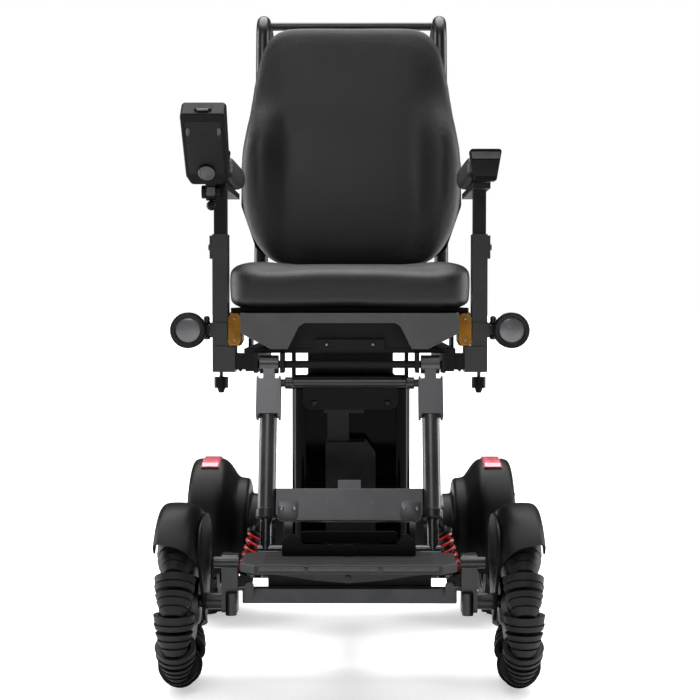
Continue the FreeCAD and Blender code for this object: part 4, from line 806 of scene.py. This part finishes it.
def plate(name, corners, thickMm, bevelMm, place, material, body):
    # a flat outline of (x, z) in its own frame, facing -Y, with rounded rims
    shaped = bmesh.new()
    verts = [shaped.verts.new((x / 1000, 0, z / 1000)) for x, z in corners]
    face = shaped.faces.new(verts)
    grown = bmesh.ops.extrude_face_region(shaped, geom=[face])
    moved = [v for v in grown["geom"] if isinstance(v, bmesh.types.BMVert)]
    bmesh.ops.translate(shaped, verts=moved, vec=(0, thickMm / 1000, 0))
    bmesh.ops.recalc_face_normals(shaped, faces=shaped.faces)
    bmesh.ops.bevel(shaped, geom=list(shaped.edges), offset=bevelMm / 1000, segments=3, affect="EDGES",
                    profile=0.5, clamp_overlap=True)
    bmesh.ops.transform(shaped, matrix=place, verts=shaped.verts)
    bmesh.ops.recalc_face_normals(shaped, faces=shaped.faces)
    mesh = bpy.data.meshes.new(name)
    shaped.to_mesh(mesh)
    shaped.free()
    piece = bpy.data.objects.new(name, mesh)
    scene.collection.objects.link(piece)
    mesh.materials.append(finish[material])
    mesh.shade_smooth()
    mesh.set_sharp_from_angle(angle=math.radians(38))
    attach(piece, body)
    return piece


def roundRect(width, height, corner, across=0, up=0):
    return [(across + x, up + z) for x, z in roundedRing(width / 2, height / 2, corner, 5)]


legLook = {"tiltDegrees": 20, "hingeMm": (45, 512), "faceMm": -6, "screwMm": 3.6, "screwRowMm": -239,
           "dotRowMm": -229}
legPlace = (Matrix.Translation((0, axleY + legLook["hingeMm"][0] / 1000, legLook["hingeMm"][1] / 1000))
            @ Matrix.Rotation(-math.radians(legLook["tiltDegrees"]), 4, "X"))


def legSpot(x, y, z):
    return legPlace @ Vector((x / 1000, y / 1000, z / 1000))


def legRestFittings():
    ahead = legPlace.to_3x3() @ Vector((0, -1, 0))
    face = legLook["faceMm"]
    for side, sign in (("Left", 1), ("Right", -1)):
        plate(f"panelTab{side}", roundRect(32, 30, 6, sign * 96, -241), 2.2, 0.6,
              legPlace @ Matrix.Translation((0, (face - 1.4) / 1000, 0)), "tube", "leg_rest")
        turnedPiece(f"tubeCollar{side}", [(0.0, -0.0075), (0.0145, -0.0075), (0.0162, -0.006),
                    (0.0162, 0.006), (0.0145, 0.0075), (0.0, 0.0075)],
                    legPlace.to_3x3() @ Vector((0, 0, 1)), legSpot(sign * 130, 0, -246), "powder",
                    "leg_rest", 40)
    screws("panelScrews", legLook["screwMm"],
           [(legSpot(x, face - 1.2, legLook["screwRowMm"]), ahead) for x in (-106, -86, 86, 106)],
           "leg_rest", "screwLight")
    screws("panelDots", 1.7, [(legSpot(x, face + 0.1, legLook["dotRowMm"]), ahead) for x in (-36, 36)],
           "leg_rest", "screwLight")
    sidePlaces = []
    for sign in (1, -1):
        for inward in (1, -1):
            out = legPlace.to_3x3() @ Vector((sign * inward, 0, 0))
            for up in (-78, -33):  # below the seat's hinge plates at every angle
                sidePlaces.append((legSpot(sign * 130 + sign * inward * 16, 0, up), out))
    screws("knuckleBolts", 5.2, sidePlaces, "leg_rest")
    # the bar's collars stay inside the seat's hinge plates, and only its thin ends pass below them
    half = [(0.0062, 0.0905), (0.0085, 0.091), (0.0095, 0.092), (0.0095, 0.103), (0.0085, 0.104),
            (0.0062, 0.1045), (0.0062, 0.113), (0.0, 0.113)]
    bar = [(radius, -along) for radius, along in reversed(half)] + half
    turnedPiece("legCrossBar", bar, (1, 0, 0), legSpot(0, 0, -31.5), "powder", "leg_rest", 36)


legRestFittings()

remoteLook = {"tiltDegrees": 40, "placeMm": (-224, 14, 806), "depthMm": 35, "lengthMm": 136}
remotePlace = (Matrix.Translation((remoteLook["placeMm"][0] / 1000,
                                   axleY + remoteLook["placeMm"][1] / 1000,
                                   remoteLook["placeMm"][2] / 1000))
               @ Matrix.Rotation(math.radians(remoteLook["tiltDegrees"]), 4, "X"))


def remoteFittings():
    front, rear = -remoteLook["depthMm"] / 2000, remoteLook["depthMm"] / 2000
    turning = remotePlace.to_3x3()
    under = turning @ Vector((0, -1, 0))
    turnedPiece("remoteCap", [(0.0, 0.0012), (0.0085, 0.0012), (0.0095, 0.0006), (0.0102, 0.0012),
                (0.0122, 0.001), (0.0132, 0.0), (0.0132, -0.001), (0.0, -0.001)], under,
                remotePlace @ Vector((0, front - 0.005, 0.03)), "capGrey", "controller", 48)
    plate("remotePanel", roundRect(56, 98, 6, 0, 74), 1.4, 0.5,
          remotePlace @ Matrix.Translation((0, front - 0.0006, 0)), "softTouch", "controller")
    for side, sign in (("Left", 1), ("Right", -1)):
        plate(f"remoteSlot{side}", roundRect(5.4, 15, 2.7, sign * 24, 104), 1.6, 0.4,
              remotePlace @ Matrix.Translation((0, front - 0.0014, 0)), "chrome", "controller")
        plate(f"remoteSlotCore{side}", roundRect(3.2, 12.6, 1.6, sign * 24, 104), 1.2, 0.2,
              remotePlace @ Matrix.Translation((0, front - 0.0018, 0)), "screen", "controller")
    screws("remoteScrew", 1.9, [(remotePlace @ Vector((0, front - 0.0005, 0.096)), under)],
           "controller")
    plate("remotePort", [(-11, 0), (11, 0), (8.5, 5.4), (-8.5, 5.4)], 3, 0.5,
          remotePlace @ Matrix.Translation((0, -0.0104, (remoteLook["lengthMm"] - 1.5) / 1000)),
          "chrome", "controller")
    plate("remoteDisplay", roundRect(46, 26, 4, 0, 86), 1.4, 0.5,
          remotePlace @ Matrix.Translation((0, rear - 0.0005, 0)), "screen", "controller")
    plate("remoteDisplayFrame", roundRect(52, 32, 5, 0, 86), 1.2, 0.4,
          remotePlace @ Matrix.Translation((0, rear - 0.0009, 0)), "softTouch", "controller")
    square = (Matrix.Translation((remoteLook["placeMm"][0] / 1000 + 0.0045,
              axleY + remoteLook["placeMm"][1] / 1000 - 0.0152, remoteLook["placeMm"][2] / 1000 - 0.018)))
    plate("clampFace", roundRect(13, 13, 2, 0, 0), 2.4, 0.6, square, "capGrey", "controller")


remoteFittings()


def lampFittings():
    for side, sign in (("left", 1), ("right", -1)):
        low, high = ends(f"headlamp_{side}")
        outerEdge = high.x if sign == 1 else low.x
        centre = Vector((outerEdge - sign * 0.029, low.y, (low.z + high.z) / 2))
        turnedPiece(f"lampGlass{side.title()}", [(0.0, 0.0008), (0.01, 0.0005), (0.0185, -0.0006),
                    (0.0203, -0.0015), (0.0203, -0.003), (0.0, -0.003)], (0, -1, 0),
                    centre + Vector((0, 0.0018, 0)), "lampGlass", f"lamp_{side}", 64)
        turnedPiece(f"lampRing{side.title()}", [(0.0206, -0.002), (0.0208, 0.0004), (0.0216, 0.001),
                    (0.0262, 0.0012), (0.0272, 0.0006), (0.0274, -0.002), (0.0206, -0.002)], (0, -1, 0),
                    centre + Vector((0, 0.001, 0)), "cast", f"lamp_{side}", 64)
        screws(f"lampBolt{side.title()}", 6,
               [(Vector((sign * 0.236, axleY + 0.092, centre.z + 0.0123)), (0, 0, 1)),
                (Vector((sign * 0.236, axleY + 0.092, centre.z - 0.0123)), (0, 0, -1))],
               f"lamp_{side}")


lampFittings()


def armrestFittings():
    for side, sign in (("left", 1), ("right", -1)):
        low, high = ends(f"armrest_cap_{side}")
        across = (low.x + high.x) / 2 * 1000
        top = high.z * 1000
        band = [(across - 23.5, top - 5), (across + 23.5, top - 5), (across + 21.6, top - 16),
                (across - 21.6, top - 16)]
        lower = [(across - 20.6, top - 18), (across + 20.6, top - 18), (across + 16.4, top - 44),
                 (across - 16.4, top - 44)]
        place = Matrix.Translation((0, low.y - 0.0008, 0))
        plate(f"capBand{side.title()}", band, 2, 0.5, place, "capGrey", f"armrest_{side}")
        plate(f"capPanel{side.title()}", lower, 2, 0.5, place, "softTouch", f"armrest_{side}")
        screws(f"latchScrews{side.title()}", 3, [
            (Vector((sign * 0.2306, axleY + 0.1 + shift, 0.703)), (sign, 0, 0)) for shift in (-0.009, 0.009)],
            "seat")


armrestFittings()

trayLook = {"boltMm": 5, "faceMm": 205}


def seatFittings():
    screws("plateScrews", 2.4, [(Vector((x, axleY + 0.0495, 0.5442)), (0, -1, 0)) for x in
                                (-0.0375, 0.0375)], "seat", "screwLight")
    trayLow = Vector(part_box("seat_frame")[0])
    face = axleY + trayLook["faceMm"] / 1000
    screws("trayBolts", trayLook["boltMm"],
           [(Vector((x, face, trayLow.z + 0.012)), (0, -1, 0)) for x in (-0.062, 0.064)],
           "seat")
    for side, sign in (("Left", 1), ("Right", -1)):
        screws(f"collarScrews{side}", 2.6, [
            (Vector((sign * 0.1885, axleY + 0.0735, z)), (0, -1, 0)) for z in (0.551, 0.586)],
            "seat", "screwLight")
    turnedPiece("trayKnob", [(0.0, 0.012), (0.008, 0.0115), (0.0095, 0.009), (0.0095, 0.004),
                (0.006, 0.002), (0.006, 0.0), (0.0, 0.0)], (0, -1, 0),
                Vector((-0.066, face, 0.478)), "capGrey", "seat", 32)


seatFittings()


def footFittings():
    low, high = ends("footplate")
    edge = [(-132, 0), (132, 0), (132, 6), (-132, 6)]
    # a lighter grey strip along the footplate's front edge: a painted highlight standing in for light from
    # above
    plate("footEdge", edge, 3, 1.2, Matrix.Translation((0, low.y - 0.0006, high.z - 0.0085)), "edgeHighlightGrey",
          "foot_platform")
    for side, across in (("Left", 46), ("Right", -62)):
        plate(f"footMark{side}", roundRect(7, 9, 1.5, across, 0), 3.4, 0.5,
              Matrix.Translation((0, low.y - 0.0012, high.z - 0.0058)), "powder", "foot_platform")
    guardLow, guardHigh = ends("heel_guard")
    strap = roundRect(146, 17, 5, 0, guardHigh.z * 1000 - 5)
    plate("heelPad", strap, 9, 2.5, Matrix.Translation((0, guardHigh.y + 0.0006, 0)), "blackFoam",
          "foot_platform")
    rib = master("treadRibMaster", *ribBar(0.118, 0.0016, 0.0012), "nylon")
    spots = [(Vector((x, low.y + 0.024 + row * 0.0125, high.z - 0.0002)), (0, 0, 1))
             for row in range(8) for x in (-0.067, 0.067)]
    runTree("footTread", [p for p, _ in spots], [f for _, f in spots], onPoints,
            {"Part": rib, "Size": 1.0, "Material": finish["rubber"]}, "foot_platform")
    screws("footBolt", 3, [(Vector((0, low.y + 0.015, low.z + 0.009)), (0, -1, 0))], "foot_platform")


def ribBar(length, width, height):
    # a low half round bar along X
    points, faces = [], []
    for end in (-0.5, 0.5):
        for step in range(7):
            angle = math.pi * step / 6
            points.append(Vector((end * length, width * math.cos(angle), height * math.sin(angle))))
    for step in range(7):
        following = (step + 1) % 7
        faces.append((step, following, 7 + following, 7 + step))
    faces.append(tuple(range(6, -1, -1)))
    faces.append(tuple(range(7, 14)))
    return points, faces


footFittings()

wheelLook = {"lugs": 30, "lugMm": 131.5, "rowMm": 21.5}


def lugMaster():
    # a tapered shoulder lug, its top along Z
    points = [Vector((x, y, z)) for z, wide in ((-0.004, 1.0), (0.0034, 0.72)) for x, y in (
        (-0.0075 * wide, -0.0062 * wide), (0.0075 * wide, -0.0062 * wide),
        (0.0075 * wide, 0.0062 * wide), (-0.0075 * wide, 0.0062 * wide))]
    return master("lugMaster", points, boxFaces, "rubber")


def rearWheelFittings():
    lug = lugMaster()
    for side, sign in (("left", 1), ("right", -1)):
        low, high = ends(f"rear_tyre_{side}")
        middle = (low + high) / 2
        shift = sign * wheelLook["rowMm"] / 1000
        for row, across, turn in (("Outer", shift, 0.0), ("Inner", -shift, math.pi / wheelLook["lugs"])):
            runTree(f"tyreLugs{row}{side.title()}", [(0, 0, 0)], [(0, 0, 1)], onRing, {
                "Part": lug, "Count": wheelLook["lugs"], "Radius": wheelLook["lugMm"] / 1000,
                "Centre": middle + Vector((across, 0, 0)), "Turn": turn,
                "Material": finish["rubber"]}, f"rear_wheel_{side}")
        rimLow, rimHigh = ends(f"rear_rim_{side}")
        outer = rimHigh.x if sign == 1 else rimLow.x
        turnedPiece(f"rearHubCap{side.title()}", [(0.0, 0.0052), (0.012, 0.005), (0.02, 0.0036),
                    (0.0245, 0.001), (0.025, -0.003), (0.0, -0.003)], (sign, 0, 0),
                    Vector((outer - sign * 0.0045, middle.y, middle.z)), "cast", f"rear_wheel_{side}",
                    48)


rearWheelFittings()

gripLook = {"ribs": 9, "pitchMm": 7.5}


def gripSleeves():
    # soft sleeves with rings along the push handles' rear ends
    rings = []
    for index in range(gripLook["ribs"]):
        start = 0.048 + index * gripLook["pitchMm"] / 1000
        rings += [(0.0142, start), (0.0152, start + 0.0012), (0.0152, start + 0.005),
                  (0.0142, start + 0.0062)]
    profile = [(0.0131, 0.046)] + rings + [(0.0145, 0.1165), (0.0132, 0.1185), (0.0, 0.1192)]
    for side, sign in (("Left", 1), ("Right", -1)):
        points, faces = lathe(profile, 36)
        place = backPlace() @ Matrix.Translation((sign * 0.17, 0, 0.56)) @ Matrix.Rotation(
            -math.pi / 2, 4, "X")
        meshPiece(f"handleGrip{side}", [place @ p for p in points], faces, "rubber", "backrest")


gripSleeves()
print("fittings done")

viewLook = {"behindMm": 2400, "heightMm": 616, "acrossMm": 17, "downDegrees": 1.89, "turnDegrees": 0.387,
            "lensMm": 77.8, "sensorMm": 36}
lightLook = {"room": 0.05, "floorGlow": 0.5, "floorHalfM": 60, "floorDropMm": 0.5, "overhead": 4.1,
             "overheadSpreadDegrees": 70, "overheadLeanDegrees": -16,
             "boxes": {"leftStrip": ((-2.0, 0.55, 1.0), (0.5, 2.2), 34),
                       "rightStrip": ((2.0, 0.55, 1.0), (0.5, 2.2), 34),
                       "frontFill": ((-0.6, -3.2, 2.9), (1.6, 0.8), 24)}}


def studio():
    cameraData = bpy.data.cameras.new("camera")
    cameraData.lens = viewLook["lensMm"]
    cameraData.sensor_width = viewLook["sensorMm"]
    camera = bpy.data.objects.new("camera", cameraData)
    camera.location = (viewLook["acrossMm"] / 1000, axleY - viewLook["behindMm"] / 1000,
                       viewLook["heightMm"] / 1000)
    camera.rotation_euler = (math.radians(90 - viewLook["downDegrees"]), 0,
                             math.radians(viewLook["turnDegrees"]))
    scene.collection.objects.link(camera)
    scene.camera = camera
    reach, drop = lightLook["floorHalfM"], lightLook["floorDropMm"] / 1000
    points = [(x * reach, y * reach, -drop) for x, y in ((-1, -1), (1, -1), (1, 1), (-1, 1))]
    mesh = bpy.data.meshes.new("floor")
    mesh.from_pydata(points, [], [(0, 1, 2, 3)])
    floor = bpy.data.objects.new("floor", mesh)
    scene.collection.objects.link(floor)
    paint = bpy.data.materials.new("whiteSeamlessPaper")
    paint.use_nodes = True
    shader = paint.node_tree.nodes["Principled BSDF"]
    # lit from behind like a light table, which thins the shadows without lighting the chair
    seenFloor = addNode(paint.node_tree, "ShaderNodeLightPath")
    glow = addNode(paint.node_tree, "ShaderNodeMath", {"operation": "MULTIPLY"},
                   {1: lightLook["floorGlow"]}, {0: seenFloor.outputs["Is Camera Ray"]})
    shader.inputs["Emission Color"].default_value = linear("#FFFFFF")
    paint.node_tree.links.new(glow.outputs["Value"], shader.inputs["Emission Strength"])
    shader.inputs["Base Color"].default_value = linear("#F6F6F6")
    shader.inputs["Roughness"].default_value = 0.95
    shader.inputs["Specular IOR Level"].default_value = 0.1
    mesh.materials.append(paint)
    world = bpy.data.worlds.new("studio")
    world.use_nodes = True
    tree = world.node_tree
    tree.nodes.clear()
    out = addNode(tree, "ShaderNodeOutputWorld")
    seen = addNode(tree, "ShaderNodeBackground", values={"Color": linear("#FFFFFF"), "Strength": 1.0})
    room = addNode(tree, "ShaderNodeBackground", values={"Color": linear("#FFFFFF"),
                   "Strength": lightLook["room"]})
    path = addNode(tree, "ShaderNodeLightPath")
    mixed = addNode(tree, "ShaderNodeMixShader", links={0: path.outputs["Is Camera Ray"],
                    1: room.outputs["Background"], 2: seen.outputs["Background"]})
    tree.links.new(mixed.outputs["Shader"], out.inputs["Surface"])
    scene.world = world
    overhead = bpy.data.lights.new("overheadSoftbox", "SUN")
    overhead.energy = lightLook["overhead"]
    overhead.angle = math.radians(lightLook["overheadSpreadDegrees"])
    lamp = bpy.data.objects.new("overheadSoftbox", overhead)
    lamp.rotation_euler = (math.radians(lightLook["overheadLeanDegrees"]), 0, 0)
    scene.collection.objects.link(lamp)
    for name, (place, size, power) in lightLook["boxes"].items():
        lampData = bpy.data.lights.new(name, "AREA")
        lampData.shape = "RECTANGLE"
        lampData.size, lampData.size_y = size
        lampData.energy = power
        lamp = bpy.data.objects.new(name, lampData)
        lamp.location = place
        lamp.rotation_euler = (Vector((0, 0, 0.6)) - Vector(place)).to_track_quat("-Z", "Y").to_euler()
        scene.collection.objects.link(lamp)
    scene.view_settings.view_transform = "Standard"


studio()
print("studio ready")
